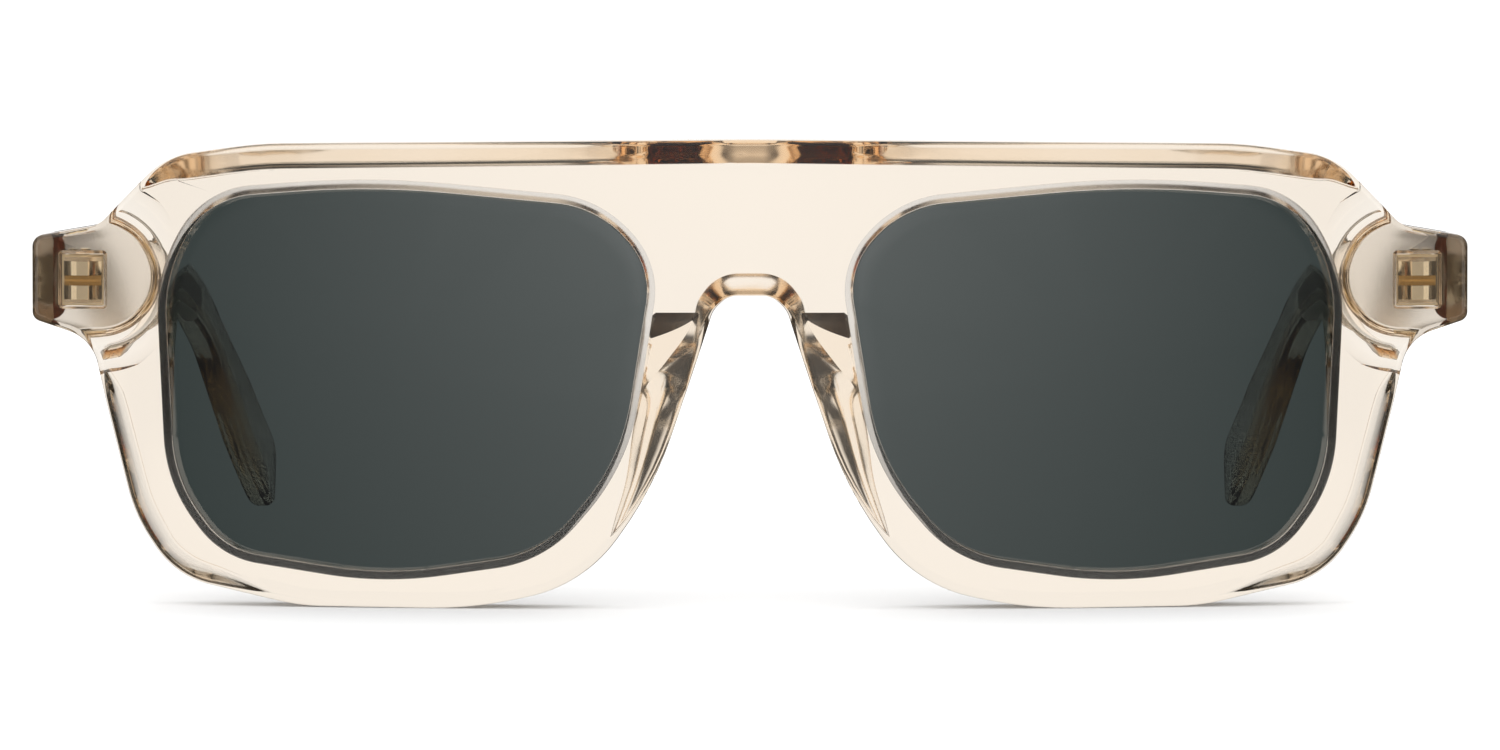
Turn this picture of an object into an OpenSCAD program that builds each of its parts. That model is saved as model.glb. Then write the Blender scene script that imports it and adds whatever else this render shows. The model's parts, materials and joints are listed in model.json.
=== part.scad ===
// Rectangular acetate sunglasses with a flat brow, standing open on their
// lower rims and temple tips. Millimetres: X to the wearer's left, Y towards
// the wearer, Z up, with Z = 0 the surface that they stand on.

/* [Front] */
// Half of the width over the end pieces
outer_x = 73.4; // [72.8:0.1:75]
// Thickness of the acetate sheet that the front is cut from
sheet_t = 6; // [5.4:0.1:6.4]
// Radius of the face curve that the front is bent to
face_r = 330; // [250:10:500]
// Rounding of the polished front edges
front_round = 0.7; // [0.3:0.1:0.8]
// Height above the table of the line that the face curve is centred on
face_z = 24.4; // [20:0.1:28]

/* [Lenses] */
// Thickness of a lens
lens_t = 2; // [1.6:0.1:2.2]
// Acetate in front of a lens
front_lip = 1.1; // [0.9:0.1:1.4]
// How far the groove reaches behind the visible edge of the lens
groove_d = 0.85; // [0.6:0.05:1]
// Clearance of a lens in its groove
lens_clear = 0.05; // [0.02:0.01:0.1]

/* [End pieces and hinges] */
// Depth at which the flat back of each end piece lies
seat_y = 14; // [13.6:0.1:14.6]
// Radius of the half-round platform behind each end piece
platform_r = 5.25; // [4.8:0.05:5.6]
// Distance of the hinge line from the outside of the end piece
pivot_in = 5.1; // [4.8:0.1:5.4]
// Height of the middle of the hinge
hinge_z = 33; // [32.6:0.1:33.4]
// Outer radius of the knuckles
knuckle_r = 1.35; // [1.2:0.05:1.4]
// Height of one knuckle
knuckle_h = 1; // [0.9:0.05:1.1]
// Radius of the screw's shank
screw_r = 0.7; // [0.6:0.05:0.8]

/* [Temples] */
// Height of a temple at the hinge
temple_h = 8.4; // [7.5:0.1:8.6]
// Thickness of a temple
temple_t = 3.5; // [3:0.1:3.6]
// Depth at which the temple turns down behind the ear
bend_y = 103; // [95:1:110]
// Width of the core wire inside a temple
core_w = 2.4; // [1.8:0.1:2.6]
// Thickness of the core wire inside a temple
core_t = 1.1; // [0.8:0.1:1.3]

/* [Nose pads] */
// How far the built-up nose pads stand behind the front
pad_d = 3.8; // [3:0.1:5]

/* [Hidden] */
$fn = 48;

// Outline of the left half of the front, from the middle of the brow round to
// the middle of the bridge's underside: x, z, corner radius, width of the back
// bevel there.
OUTLINE = [
    [0, 47.75, 0, 2.8],
    [50, 47.25, 40, 2.6],
    [58.2, 46.05, 8, 2.2],
    [60.5, 44.9, 10, 1.5],
    [63.2, 42.25, 12, 0.4],
    [outer_x - 6.9, 38.8, 3, 0.4],
    [outer_x, 37.6, 1.2, 0.4],
    [outer_x, 29.2, 1, 0.4],
    [outer_x - 6.2, 27.2, 4.5, 0.6],
    [65.8, 21, 60, 2],
    [62.9, 9.3, 17, 2.1],
    [58.8, 3, 9.5, 2.2],
    [46, 0.1, 22, 1],
    [28, -0.04, 42, 0.7],
    [16.9, 2.5, 18, 0.5],
    [9.8, 12.2, 60, 0.4],
    [5.4, 25.3, 60, 0.4],
    [4.3, 28.6, 20, 1.2],
    [3.3, 31.95, 2.3, 2.6],
    [0, 31.9, 0, 2.6]
];

// Middle line of the lip round the left lens: x, z, corner radius.
EYE = [
    [38.5, 43.4, 150], [55.3, 42.05, 11], [60.1, 33.9, 20], [59.1, 12.7, 30], [53.7, 5.4, 8.7],
    [37.2, 2.9, 40], [21, 5.3, 12.7], [12.7, 15, 30], [9.5, 35, 8.1], [15.4, 41.3, 11.5]
];

// How far the 45 degree cut between end piece and temple goes in.
mitre = 2.4;

// Side view of a temple's middle line: y, z, bend radius, height there.
TEMPLE = [
    [seat_y - mitre - 2, 33.4, 0, temple_h],
    [55, 32, 200, 6.8],
    [bend_y, 30.1, 60, 6],
    [bend_y + 34.5, 8.6, 300, 9.6],
    [bend_y + 46, 2.27, 0, 9.4]
];

lip = 0.4;
lens_edge_round = 0.35;
ray_x = 35.4;
ray_z = 28.3;
glue = 0.03;
butt_gap = 0.08;
pivot_y = seat_y + 1.7;
fit = 0.05;
temple_in = outer_x - 0.1 - temple_t;
pivot_x = outer_x - pivot_in;
platform_x = outer_x - 7.1;
platform_z = hinge_z + 0.4;
// A temple leans in by the first share behind its hinge, and by the second
// before its bend, each over a run of ease_run.
temple_in_a = 0.07;
temple_in_b = 0.08;
lean_a = seat_y + 1.6;
lean_b = bend_y - 27;
ease_run = 20;

function unit(v) = v / norm(v);
function wrap(a) = a > 180 ? a - 360 : a < -180 ? a + 360 : a;
function turn_left(v) = [-v[1], v[0]];

// Points of one rounded corner p between p0 and p1, every `step` degrees.
function corner(p0, p, p1, r, step) =
    let (
        la = norm(p0 - p),
        lb = norm(p1 - p),
        a = (p0 - p) / la,
        b = (p1 - p) / lb,
        half = acos(max(-1, min(1, a * b))) / 2,
        t = min(r / tan(half), 0.49 * min(la, lb)),
        rr = t * tan(half),
        c = p + unit(a + b) * (rr / sin(half)),
        q0 = p + a * t - c,
        q1 = p + b * t - c,
        a0 = atan2(q0[1], q0[0]),
        da = wrap(atan2(q1[1], q1[0]) - a0),
        n = max(2, ceil(abs(da) / step))
    )
    [for (k = [0:n]) c + rr * [cos(a0 + da * k / n), sin(a0 + da * k / n)]];

function xy(v) = [v[0], v[1]];

// An open chain of corners, each point carrying its corner's fourth value.
function chain(v, step) = [
    for (i = [0:len(v) - 1])
        each (i == 0 || i == len(v) - 1)
            ? [[v[i][0], v[i][1], v[i][3]]]
            : [for (q = corner(xy(v[i - 1]), xy(v[i]), xy(v[i + 1]), v[i][2], step)) [q[0], q[1], v[i][3]]]
];

// The same chain with its long straight runs divided.
function refine(p, run) = [
    for (i = [0:len(p) - 2])
        let (n = max(1, ceil(norm(xy(p[i + 1]) - xy(p[i])) / run)))
        for (k = [0:n - 1]) p[i] + (p[i + 1] - p[i]) * (k / n),
    p[len(p) - 1]
];

function closed(v, step) = [
    for (i = [0:len(v) - 1])
        each corner(xy(v[(i + len(v) - 1) % len(v)]), xy(v[i]), xy(v[(i + 1) % len(v)]), v[i][2], step)
];

// Normal to the left of the way along a list of points.
function side(p, i, j, k) = turn_left(unit(xy(p[k]) - xy(p[i])));

eye_line = closed(EYE, 9);
eye_n = len(eye_line);
eye_normal = [for (i = [0:eye_n - 1]) side(eye_line, (i + eye_n - 1) % eye_n, i, (i + 1) % eye_n)];
function eye_offset(d) = [for (i = [0:eye_n - 1]) eye_line[i] + d * eye_normal[i]];

// Where a ray from the ray centre crosses the lip's middle line: x, z, normal.
function crossing(dir) = [
    for (i = [0:eye_n - 1])
        let (
            a = eye_line[i] - [ray_x, ray_z],
            b = eye_line[(i + 1) % eye_n] - [ray_x, ray_z],
            ca = dir[0] * a[1] - dir[1] * a[0],
            cb = dir[0] * b[1] - dir[1] * b[0],
            u = ca / (ca - cb)
        )
        if (ca >= 0 && cb < 0 && dir * a > 0)
            [
                eye_line[i] + u * (eye_line[(i + 1) % eye_n] - eye_line[i]),
                unit((1 - u) * eye_normal[i] + u * eye_normal[(i + 1) % eye_n])
            ]
][0];

// Depth of the bent sheet, d behind its front face.
function face_y(p, d) = face_r - sqrt(pow(face_r - d, 2) - p[0] * p[0] - pow(p[1] - face_z, 2));
function on_face(p, d) = [p[0], face_y(p, d), p[1]];

// Longest step along the outline, and the turn that one step of an arc makes.
rim_run = 5.2;
rim_turn = 13;
rim = refine(chain(OUTLINE, rim_turn), rim_run);
rim_n = len(rim);
rim_normal = [
    for (i = [0:rim_n - 1])
        i == 0 ? [0, 1] : i == rim_n - 1 ? [0, -1] : side(rim, i - 1, i, i + 1)
];
bridge_rows = 6;
// Sections under the bridge aim higher at the lens than the outline point that
// they start from, so that they fan out and never cross behind the wide bevel.
fan_rise = 5.3;
fan_from = 4.3;
function fan(q) = q[1] > 33 ? 0 : fan_rise * pow(max(0, 1 - q[0] / fan_from), 0.6);

// The twelve points that a section has from the rim's front face inwards,
// round the lip with its lens groove and out again along the back face.
function lip_points(outer, bevel, eye) =
    let (
        q = eye[0],
        n = eye[1],
        g0 = front_lip,
        g1 = front_lip + lens_t + 2 * lens_clear,
        near = q - lip * n,
        soft = near + lens_edge_round * n,
        deep = near + groove_d * n,
        back_outer = outer[1]
    )
    [
        on_face(outer[0], 0),
        on_face((outer[0] + soft) / 2, 0),
        on_face(soft, 0),
        on_face(near, lens_edge_round),
        on_face(near, g0),
        on_face(deep, g0),
        on_face(deep, g1),
        on_face(near, g1),
        on_face(near, sheet_t - lens_edge_round),
        on_face(soft, sheet_t),
        on_face((back_outer + soft) / 2, sheet_t),
        on_face(back_outer, sheet_t)
    ];

function rim_section(i) =
    let (
        o = xy(rim[i]),
        n = rim_normal[i],
        b = rim[i][2],
        dir = unit(o + [0, fan(o)] - [ray_x, ray_z])
    )
    concat(
        lip_points([o - front_round * n, o - b * n], b, crossing(dir)),
        [
            on_face(o, sheet_t - b),
            on_face(o, front_round),
            on_face(o - 0.3 * front_round * n, 0.3 * front_round)
        ]
    );

bridge_top = rim[0][1] - front_round;
bridge_low = rim[rim_n - 1][1] + front_round;
back_top = rim[0][1] - rim[0][2];
back_low = rim[rim_n - 1][1] + rim[rim_n - 1][2];
function bridge_section(j) =
    let (
        u = j / (bridge_rows + 1),
        pf = [0, bridge_low + (bridge_top - bridge_low) * u],
        pb = [0, back_low + (back_top - back_low) * u]
    )
    lip_points([pf, pb], 0, crossing(unit([0, (rim[rim_n - 1][1] + fan_rise) * (1 - u) + rim[0][1] * u] - [ray_x, ray_z])));

half_points = concat(
    [for (i = [0:rim_n - 1]) each rim_section(i)],
    [for (j = [1:bridge_rows]) each bridge_section(j)]
);
half_n = len(half_points);
function row_start(r) = r < rim_n ? r * 15 : rim_n * 15 + (r - rim_n) * 12;
// Rows in order round the bridge: underside, the bridge's own rows, brow.
bridge_order = concat([rim_n - 1], [for (j = [0:bridge_rows - 1]) rim_n + j], [0]);
half_faces = concat(
    [
        for (i = [0:rim_n - 2]) for (c = [0:14])
            let (a = i * 15 + c, b = i * 15 + (c + 1) % 15, d = a + 15, e = b + 15)
            each [[a, e, b], [a, d, e]]
    ],
    [
        for (k = [0:bridge_rows]) for (c = [0:10])
            let (
                a = row_start(bridge_order[k]) + c,
                d = row_start(bridge_order[k + 1]) + c
            )
            each [[a, d + 1, a + 1], [a, d, d + 1]]
    ]
);
function mirrored(i) = abs(half_points[i][0]) < 0.000001 ? i : i + half_n;

module bent_sheet() {
    polyhedron(
        points = concat(half_points, [for (p = half_points) [-p[0], p[1], p[2]]]),
        faces = concat(half_faces, [for (f = half_faces) [mirrored(f[2]), mirrored(f[1]), mirrored(f[0])]])
    );
}

// Sets the finished pair with the middle of its depth over the origin.
module stand() {
    translate([0, -tip_y / 2, 0]) children();
}

// Extrudes a drawing in X and Z from y0 to y1.
module across(y0, y1) {
    translate([0, y1, 0]) rotate([90, 0, 0]) linear_extrude(height = y1 - y0) children();
}

// The half-round platform and the block behind the end piece, still full.
module end_platform() {
    intersection() {
        union() {
            translate([platform_x, seat_y - 5, platform_z])
                rotate([-90, 0, 0]) cylinder(h = 5, r = platform_r + ring_fillet + 0.5);
            translate([platform_x, seat_y - 5, platform_z - platform_r - 1]) cube([9, 5, 2 * platform_r + 2]);
        }
        across(0, seat_y + 1) difference() {
            polygon(concat(
                [for (i = [0:rim_n - 1]) if (rim[i][0] > 57 && rim[i][1] > 14 && rim[i][1] < 44.5) xy(rim[i]) - 0.15 * rim_normal[i]],
                [[50, 14], [50, 44.5]]
            ));
            polygon(eye_offset(-lip));
        }
        face_back();
    }
}

// What a ball-ended cutter leaves when it has run round the platform: from the
// wall of the platform through a hollow fillet to a flat floor and a soft rim.
ring_floor = seat_y - 2.8;
ring_fillet = 1.6;
ring_out = platform_r + 3.4;
function fillet_arc(r, y, a0) = [for (k = [0:5]) [r + ring_fillet * cos(a0 + 18 * k), y + ring_fillet * sin(a0 + 18 * k)]];
RING = concat(
    [[ring_out, seat_y + 3], [platform_r, seat_y + 3]],
    fillet_arc(platform_r + ring_fillet, ring_floor + ring_fillet, 180),
    fillet_arc(ring_out - ring_fillet, ring_floor + ring_fillet, 270)
);

module ring_cut() {
    translate([platform_x, 0, platform_z])
        rotate([-90, 0, 0]) rotate([0, 0, 90]) rotate_extrude(angle = 180, $fn = 60) polygon(RING);
    for (s = [-1, 1])
        translate([platform_x - 0.01, 0, platform_z])
            rotate([90, 0, 90]) linear_extrude(height = 9) polygon([for (q = RING) [q[1], s * q[0]]]);
}

// Everything behind the middle of the bent sheet.
module face_back() {
    translate([0, face_r, face_z]) sphere(r = face_r - 1.5, $fn = 200);
}

// The sharp edge that the end piece and the temple share, cut at 45 degrees.
module mitre_cut(gap) {
    translate([0, 0, hinge_z - 12])
        linear_extrude(height = 24)
            polygon([
                [outer_x + 4, seat_y + gap - mitre - 4],
                [outer_x - mitre, seat_y + gap],
                [outer_x - 16, seat_y + gap],
                [outer_x - 16, seat_y + 20],
                [outer_x + 4, seat_y + 20]
            ]);
}

// The hinge's leaf on the front, and the toothed foot pressed into the acetate.
leaf_w = 4.3;
leaf_h = 5.2;
leaf_t = 0.7;
foot_w = 3.9;
foot_h = 4.6;
foot_d = 2.1;
foot_x = pivot_x - 0.3;
tooth_gap = 0.9;
pocket_out = 5;

module front_hinge_pocket() {
    translate([foot_x - foot_w / 2 - fit, seat_y - leaf_t - foot_d - fit, hinge_z - foot_h / 2 - fit])
        cube([foot_w + 2 * fit, foot_d + 1, foot_h + 2 * fit]);
    translate([foot_x - leaf_w / 2 - fit, seat_y - leaf_t - fit, hinge_z - leaf_h / 2 - fit])
        cube([leaf_w + 2 * fit, pocket_out, leaf_h + 2 * fit]);
}

module front_half_cuts() {
    mitre_cut(0);
    ring_cut();
    front_hinge_pocket();
}

module front() {
    color("Wheat") stand() difference() {
        union() {
            bent_sheet();
            end_platform();
            mirror([1, 0, 0]) end_platform();
        }
        front_half_cuts();
        mirror([1, 0, 0]) front_half_cuts();
    }
}

module lens() {
    intersection() {
        difference() {
            translate([0, face_r, face_z]) sphere(r = face_r - front_lip - lens_clear, $fn = 360);
            translate([0, face_r, face_z]) sphere(r = face_r - front_lip - lens_clear - lens_t, $fn = 360);
        }
        across(-1, face_y([65, face_z], sheet_t)) polygon(eye_offset(groove_d - lip - lens_clear - 0.05));
    }
}

module lens_left() {
    color("DarkSlateGray") stand() lens();
}

module lens_right() {
    color("DarkSlateGray") stand() mirror([1, 0, 0]) lens();
}

// A nose pad is a height field over the back of the front. Across it v runs
// from the nose edge to an inner line. At the top it is a steep end and a flat
// shoulder beside the lens, lower down a long rounded ridge that runs out.
pad_top_z = 30;
pad_low_z = 6.6;
pad_end_run = 2.6;
pad_ridge_z = 21;
// Height, distance from the middle: the inner line, and the crest of the shoulder.
PAD_INNER = [[6.6, 14.5], [12.8, 12.6], [18.3, 11.8], [22.3, 10.7], [26, 9.9], [30, 9.2]];
PAD_CREST = [[6.6, 14.5], [22.3, 10.6], [24.9, 8.5], [28.9, 5.9], [30, 5.7]];
// Height, width of the front's own bevel below the pad.
PAD_BEVEL = [[6.6, 0.4], [25.3, 0.4], [28.6, 1.2], [30, 1.3]];
// Distance of the nose edge from the middle at height z.
nose_edge = [for (i = [0:rim_n - 1]) if (rim[i][0] < 18 && rim[i][1] < 31.5 && rim[i][0] > 3) [rim[i][1], rim[i][0]]];
function nose_x(z) = lookup(z, nose_edge);
function ease(t) = let (u = max(0, min(1, t))) u * u * (3 - 2 * u);
function pad_x(z, v) =
    let (outer = nose_x(z) + lookup(z, PAD_BEVEL) + 0.05)
    outer + (max(lookup(z, PAD_INNER), outer + 0.1) - outer) * v;
function pad_height(z, v) =
    let (
        crest = max(0.08, min(1, (lookup(z, PAD_CREST) - pad_x(z, 0)) / (pad_x(z, 1) - pad_x(z, 0)))),
        end = 0.86 * pad_d * min(1, (pad_top_z - z) / pad_end_run),
        shoulder = end * min(1, v / crest) * ease((1 - v) / 0.08),
        below = min(1, (z - pad_low_z) / (pad_ridge_z - pad_low_z)),
        ridge = pad_d * pow(sin(90 * below), 0.8) * pow(sin(180 * min(1, v)), 0.8),
        blend = ease((z - pad_ridge_z - 0.5) / 3.5)
    )
    max(0.05, shoulder * blend + ridge * (1 - blend));
PAD_ROWS = [for (z = [30, 29.2, 28.3, 27.4, 26.4, 25.4, 24.4, 23.4, 22.4, 21.2, 20, 18.6, 17.2, 15.8, 14.2, 12.6, 11, 9.4, 7.9, 6.8]) z];
PAD_COLS = [0, 0.1, 0.22, 0.36, 0.5, 0.64, 0.78, 0.9, 0.96, 1];
pad_rows = len(PAD_ROWS);
pad_cols = len(PAD_COLS);
pad_grid = pad_rows * pad_cols;
function pad_point(z, v, h) =
    let (base = on_face([pad_x(z, v), z], sheet_t))
    [base[0], base[1] + glue + h, base[2]];
pad_points = concat(
    [for (z = PAD_ROWS) for (v = PAD_COLS) pad_point(z, v, pad_height(z, v))],
    [for (z = PAD_ROWS) for (v = PAD_COLS) pad_point(z, v, 0)]
);
function pad_quad(a, b, c, d) = [[a, b, c], [a, c, d]];
pad_faces = concat(
    [
        for (i = [0:pad_rows - 2]) for (j = [0:pad_cols - 2])
            let (a = i * pad_cols + j, d = a + pad_cols, g = pad_grid)
            each concat(pad_quad(a, d, d + 1, a + 1), pad_quad(g + a, g + a + 1, g + d + 1, g + d))
    ],
    [
        for (j = [0:pad_cols - 2])
            let (a = j, z = (pad_rows - 1) * pad_cols + j, g = pad_grid)
            each concat(pad_quad(a, a + 1, g + a + 1, g + a), pad_quad(z, g + z, g + z + 1, z + 1))
    ],
    [
        for (i = [0:pad_rows - 2])
            let (a = i * pad_cols, z = a + pad_cols - 1, g = pad_grid, m = pad_cols)
            each concat(pad_quad(a, g + a, g + a + m, a + m), pad_quad(z, z + m, g + z + m, g + z))
    ]
);

module nose_pad() {
    polyhedron(points = pad_points, faces = pad_faces);
}

module nose_pad_left() {
    color("BurlyWood") stand() nose_pad();
}

module nose_pad_right() {
    color("BurlyWood") stand() mirror([1, 0, 0]) nose_pad();
}

bore_r = screw_r + 0.05;
knuckle_gap = 0.04;
stack_low = hinge_z - 2.5 * knuckle_h;

// One knuckle of the stack of five, counted from below, with its web.
module knuckle(k, web) {
    z0 = stack_low + k * knuckle_h + knuckle_gap / 2;
    h = knuckle_h - knuckle_gap;
    difference() {
        union() {
            translate([pivot_x, pivot_y, z0]) cylinder(h = h, r = knuckle_r);
            translate([pivot_x, pivot_y, z0]) linear_extrude(height = h) polygon(web);
        }
        translate([pivot_x, pivot_y, z0 - 1]) cylinder(h = h + 2, r = bore_r);
    }
}

// Webs that join the knuckles to their leaves, drawn from the hinge line.
leaf_reach = pivot_y - seat_y + 0.2;
web_reach = temple_in - pivot_x + 0.15;
front_web = [[-1.1, 0], [-1.6, -leaf_reach], [knuckle_r, -leaf_reach], [knuckle_r, 0]];
temple_web = [[0, knuckle_r], [0.5, -1.2], [web_reach - 0.2, -0.5], [web_reach, -0.5], [web_reach, 1.6]];

module front_hinge() {
    for (k = [0, 2, 4]) knuckle(k, front_web);
    translate([foot_x - leaf_w / 2, seat_y - leaf_t, hinge_z - leaf_h / 2])
        cube([leaf_w, leaf_t, leaf_h]);
    difference() {
        translate([0, 0, hinge_z - foot_h / 2])
            linear_extrude(height = foot_h)
                polygon([
                    [foot_x - 0.34 * foot_w, seat_y - leaf_t + 0.1],
                    [foot_x - foot_w / 2, seat_y - leaf_t - foot_d + 0.5],
                    [foot_x - foot_w / 6, seat_y - leaf_t - foot_d],
                    [foot_x + foot_w / 6, seat_y - leaf_t - foot_d],
                    [foot_x + foot_w / 2, seat_y - leaf_t - foot_d + 0.5],
                    [foot_x + 0.34 * foot_w, seat_y - leaf_t + 0.1]
                ]);
        for (z = [-foot_h / 2, 0, foot_h / 2])
            translate([foot_x - foot_w, seat_y - leaf_t - foot_d - 1, hinge_z + z - tooth_gap / 2])
                cube([2 * foot_w, foot_d + 0.5, tooth_gap]);
    }
}

module front_hinge_left() {
    color("Gold") stand() front_hinge();
}

module front_hinge_right() {
    color("Gold") stand() mirror([1, 0, 0]) front_hinge();
}

module hinge_screw() {
    low = stack_low + 0.3;
    top = hinge_z + 2.5 * knuckle_h;
    translate([pivot_x, pivot_y, low]) cylinder(h = top - low, r = screw_r);
    difference() {
        translate([pivot_x, pivot_y, top - knuckle_gap / 2]) cylinder(h = 0.6, r = 1.15);
        translate([pivot_x - 0.15, pivot_y - 2, top + 0.3]) cube([0.3, 4, 1]);
    }
}

module hinge_screw_left() {
    color("Goldenrod") stand() hinge_screw();
}

module hinge_screw_right() {
    color("Goldenrod") stand() mirror([1, 0, 0]) hinge_screw();
}

spine = refine(chain(TEMPLE, 5), 9);
spine_n = len(spine);
tip_run = 5.2;
spine_end = spine[spine_n - 1];
// A bend in the temple's plan that starts at depth y0 and eases in over a run w.
function eased(y, y0, w) = y < y0 ? 0 : y < y0 + w ? pow(y - y0, 2) / (2 * w) : y - y0 - w / 2;
function easing(y, y0, w) = max(0, min(1, (y - y0) / w));
// How far a temple's middle plane lies from the middle of the front.
function spine_x(y) =
    temple_in + temple_t / 2 - temple_in_a * eased(y, lean_a, ease_run) - temple_in_b * eased(y, lean_b, ease_run);
function spine_slope(y) = temple_in_a * easing(y, lean_a, ease_run) + temple_in_b * easing(y, lean_b, ease_run);
function along(i) = unit(xy(spine[min(spine_n - 1, i + 1)]) - xy(spine[max(0, i - 1)]));
function ring_shape(w, h, r) = [
    for (q = [[1, 1, 0], [-1, 1, 90], [-1, -1, 180], [1, -1, 270]])
        for (k = [0:3])
            [q[0] * (w / 2 - r) + r * cos(q[2] + 30 * k), q[1] * (h / 2 - r) + r * sin(q[2] + 30 * k)]
];
// One ring across the temple at a point of its spine.
function ring(p, dir, shape) =
    let (a = atan(spine_slope(p[0])))
    [
        for (q = shape)
            [
                spine_x(p[0]) + q[0] * cos(a),
                p[0] + q[0] * sin(a) - q[1] * dir[1],
                p[1] + q[1] * dir[0]
            ]
    ];
tip_steps = [0, 0.35, 0.62, 0.82, 0.94, 0.995];
temple_rings = concat(
    [
        for (i = [0:spine_n - 2])
            ring(spine[i], i == 0 ? unit([1, -0.03]) : along(i),
                ring_shape(temple_t - 0.004 * max(0, spine[i][0] - 20), spine[i][2], 1.1))
    ],
    [
        for (u = tip_steps)
            let (
                dir = along(spine_n - 1),
                f = sqrt(1 - u * u),
                p = xy(spine_end) - dir * tip_run * (1 - u)
            )
            ring(p, dir, ring_shape(max(0.9, 3 * sqrt(f)), max(1.2, spine_end[2] * f), min(1.1, 0.4 * max(0.9, 3 * sqrt(f)))))
    ]
);
tip_y = max([for (r = temple_rings) for (p = r) p[1]]);

// A closed skin over a row of rings that all have the same number of points.
module skin(rings) {
    m = len(rings[0]);
    n = len(rings);
    polyhedron(
        points = [for (r = rings) each r],
        faces = concat(
            [
                for (i = [0:n - 2]) for (c = [0:m - 1])
                    let (a = i * m + c, b = i * m + (c + 1) % m, d = a + m, e = b + m)
                    each [[a, b, e], [a, e, d]]
            ],
            [for (c = [1:m - 2]) [0, c + 1, c]],
            [for (c = [1:m - 2]) [(n - 1) * m, (n - 1) * m + c, (n - 1) * m + c + 1]]
        )
    );
}

core_from = seat_y + 9;
core_to = bend_y + 6;
// The core wire widens from its pointed front to its full width at its end.
function core_wide(y) = core_w * (0.55 + 0.45 * ease((y - core_from) / (core_to - core_from)));
module core(extra) {
    skin([
        for (i = [0:spine_n - 2])
            if (spine[i][0] > core_from && spine[i][0] < core_to)
                let (w = core_wide(spine[i][0]) / 2 + extra, t = core_t / 2 + extra)
                ring(spine[i], along(i), [[t, w], [-t, w], [-t, -w], [t, -w]])
    ]);
}

temple_leaf_y = seat_y + 1.2;
temple_leaf_l = 8;
temple_leaf_t = 0.9;

module temple() {
    difference() {
        skin(temple_rings);
        difference() {
            translate([outer_x - 16, -2, hinge_z - 13]) cube([24, seat_y + 10, 26]);
            mitre_cut(butt_gap);
        }
        translate([temple_in - 2, temple_leaf_y - fit, hinge_z - leaf_h / 2 - fit])
            cube([2 + temple_leaf_t + fit, temple_leaf_l + 2 * fit, leaf_h + 2 * fit]);
        core(fit);
    }
}

module temple_left() {
    color("Tan") stand() temple();
}

module temple_right() {
    color("Tan") stand() mirror([1, 0, 0]) temple();
}

module temple_hinge() {
    for (k = [1, 3]) knuckle(k, temple_web);
    translate([temple_in, temple_leaf_y, hinge_z - leaf_h / 2])
        cube([temple_leaf_t, temple_leaf_l, leaf_h]);
}

module temple_hinge_left() {
    color("Gold") stand() temple_hinge();
}

module temple_hinge_right() {
    color("Gold") stand() mirror([1, 0, 0]) temple_hinge();
}

module core_wire_left() {
    color("Silver") stand() core(0);
}

module core_wire_right() {
    color("Silver") stand() mirror([1, 0, 0]) core(0);
}

front();
nose_pad_left();
nose_pad_right();
lens_left();
lens_right();
front_hinge_left();
front_hinge_right();
hinge_screw_left();
hinge_screw_right();
temple_left();
temple_right();
temple_hinge_left();
temple_hinge_right();
core_wire_left();
core_wire_right();
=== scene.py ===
# %% [markdown]
# Rectangular sunglasses in clear champagne acetate, standing open on a white
# table. Light makes this object: it goes in through a polished face, is
# thrown round inside by the cut edges and comes out tinted. So the pieces are
# modelled as real closed solids with their grooves, bevels and glued joints,
# and the glass-like finish is left to real refraction and absorption.

# %% Load the fixed frame
import json
import math
import bpy
import bmesh
import numpy as np
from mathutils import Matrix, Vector


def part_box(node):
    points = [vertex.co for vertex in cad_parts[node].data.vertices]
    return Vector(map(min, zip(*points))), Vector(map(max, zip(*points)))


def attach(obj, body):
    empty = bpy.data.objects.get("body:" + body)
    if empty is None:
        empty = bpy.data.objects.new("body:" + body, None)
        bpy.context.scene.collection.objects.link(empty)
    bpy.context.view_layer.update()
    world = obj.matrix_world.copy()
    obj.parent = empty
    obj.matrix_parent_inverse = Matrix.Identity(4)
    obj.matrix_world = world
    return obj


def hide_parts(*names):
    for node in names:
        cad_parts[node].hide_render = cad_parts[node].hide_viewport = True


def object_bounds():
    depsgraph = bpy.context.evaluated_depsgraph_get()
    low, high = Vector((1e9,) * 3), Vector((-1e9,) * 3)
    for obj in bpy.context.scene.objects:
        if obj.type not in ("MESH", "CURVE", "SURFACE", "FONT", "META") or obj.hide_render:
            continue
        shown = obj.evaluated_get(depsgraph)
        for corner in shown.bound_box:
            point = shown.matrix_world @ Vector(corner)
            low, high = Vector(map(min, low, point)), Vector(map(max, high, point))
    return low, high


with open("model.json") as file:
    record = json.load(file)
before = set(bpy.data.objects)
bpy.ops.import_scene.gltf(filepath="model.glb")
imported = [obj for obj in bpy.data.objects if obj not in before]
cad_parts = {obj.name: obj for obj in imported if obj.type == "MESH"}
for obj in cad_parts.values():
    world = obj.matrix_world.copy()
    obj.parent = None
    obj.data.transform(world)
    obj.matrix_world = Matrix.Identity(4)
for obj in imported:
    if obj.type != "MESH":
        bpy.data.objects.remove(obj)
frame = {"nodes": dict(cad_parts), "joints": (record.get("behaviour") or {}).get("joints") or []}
cad_low, cad_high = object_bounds()
print("CAD box", [round(v * 1000, 1) for v in (*cad_low, *cad_high)])

# %% [markdown]
# All shapes below are written in millimetres, in the drawing of the front: X
# sideways, Z up from the table and a depth measured back from the front face.
# The frame says where that drawing stands: the hinge line is a joint, so its
# place gives the depth of the front face in the shared frame.

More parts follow.
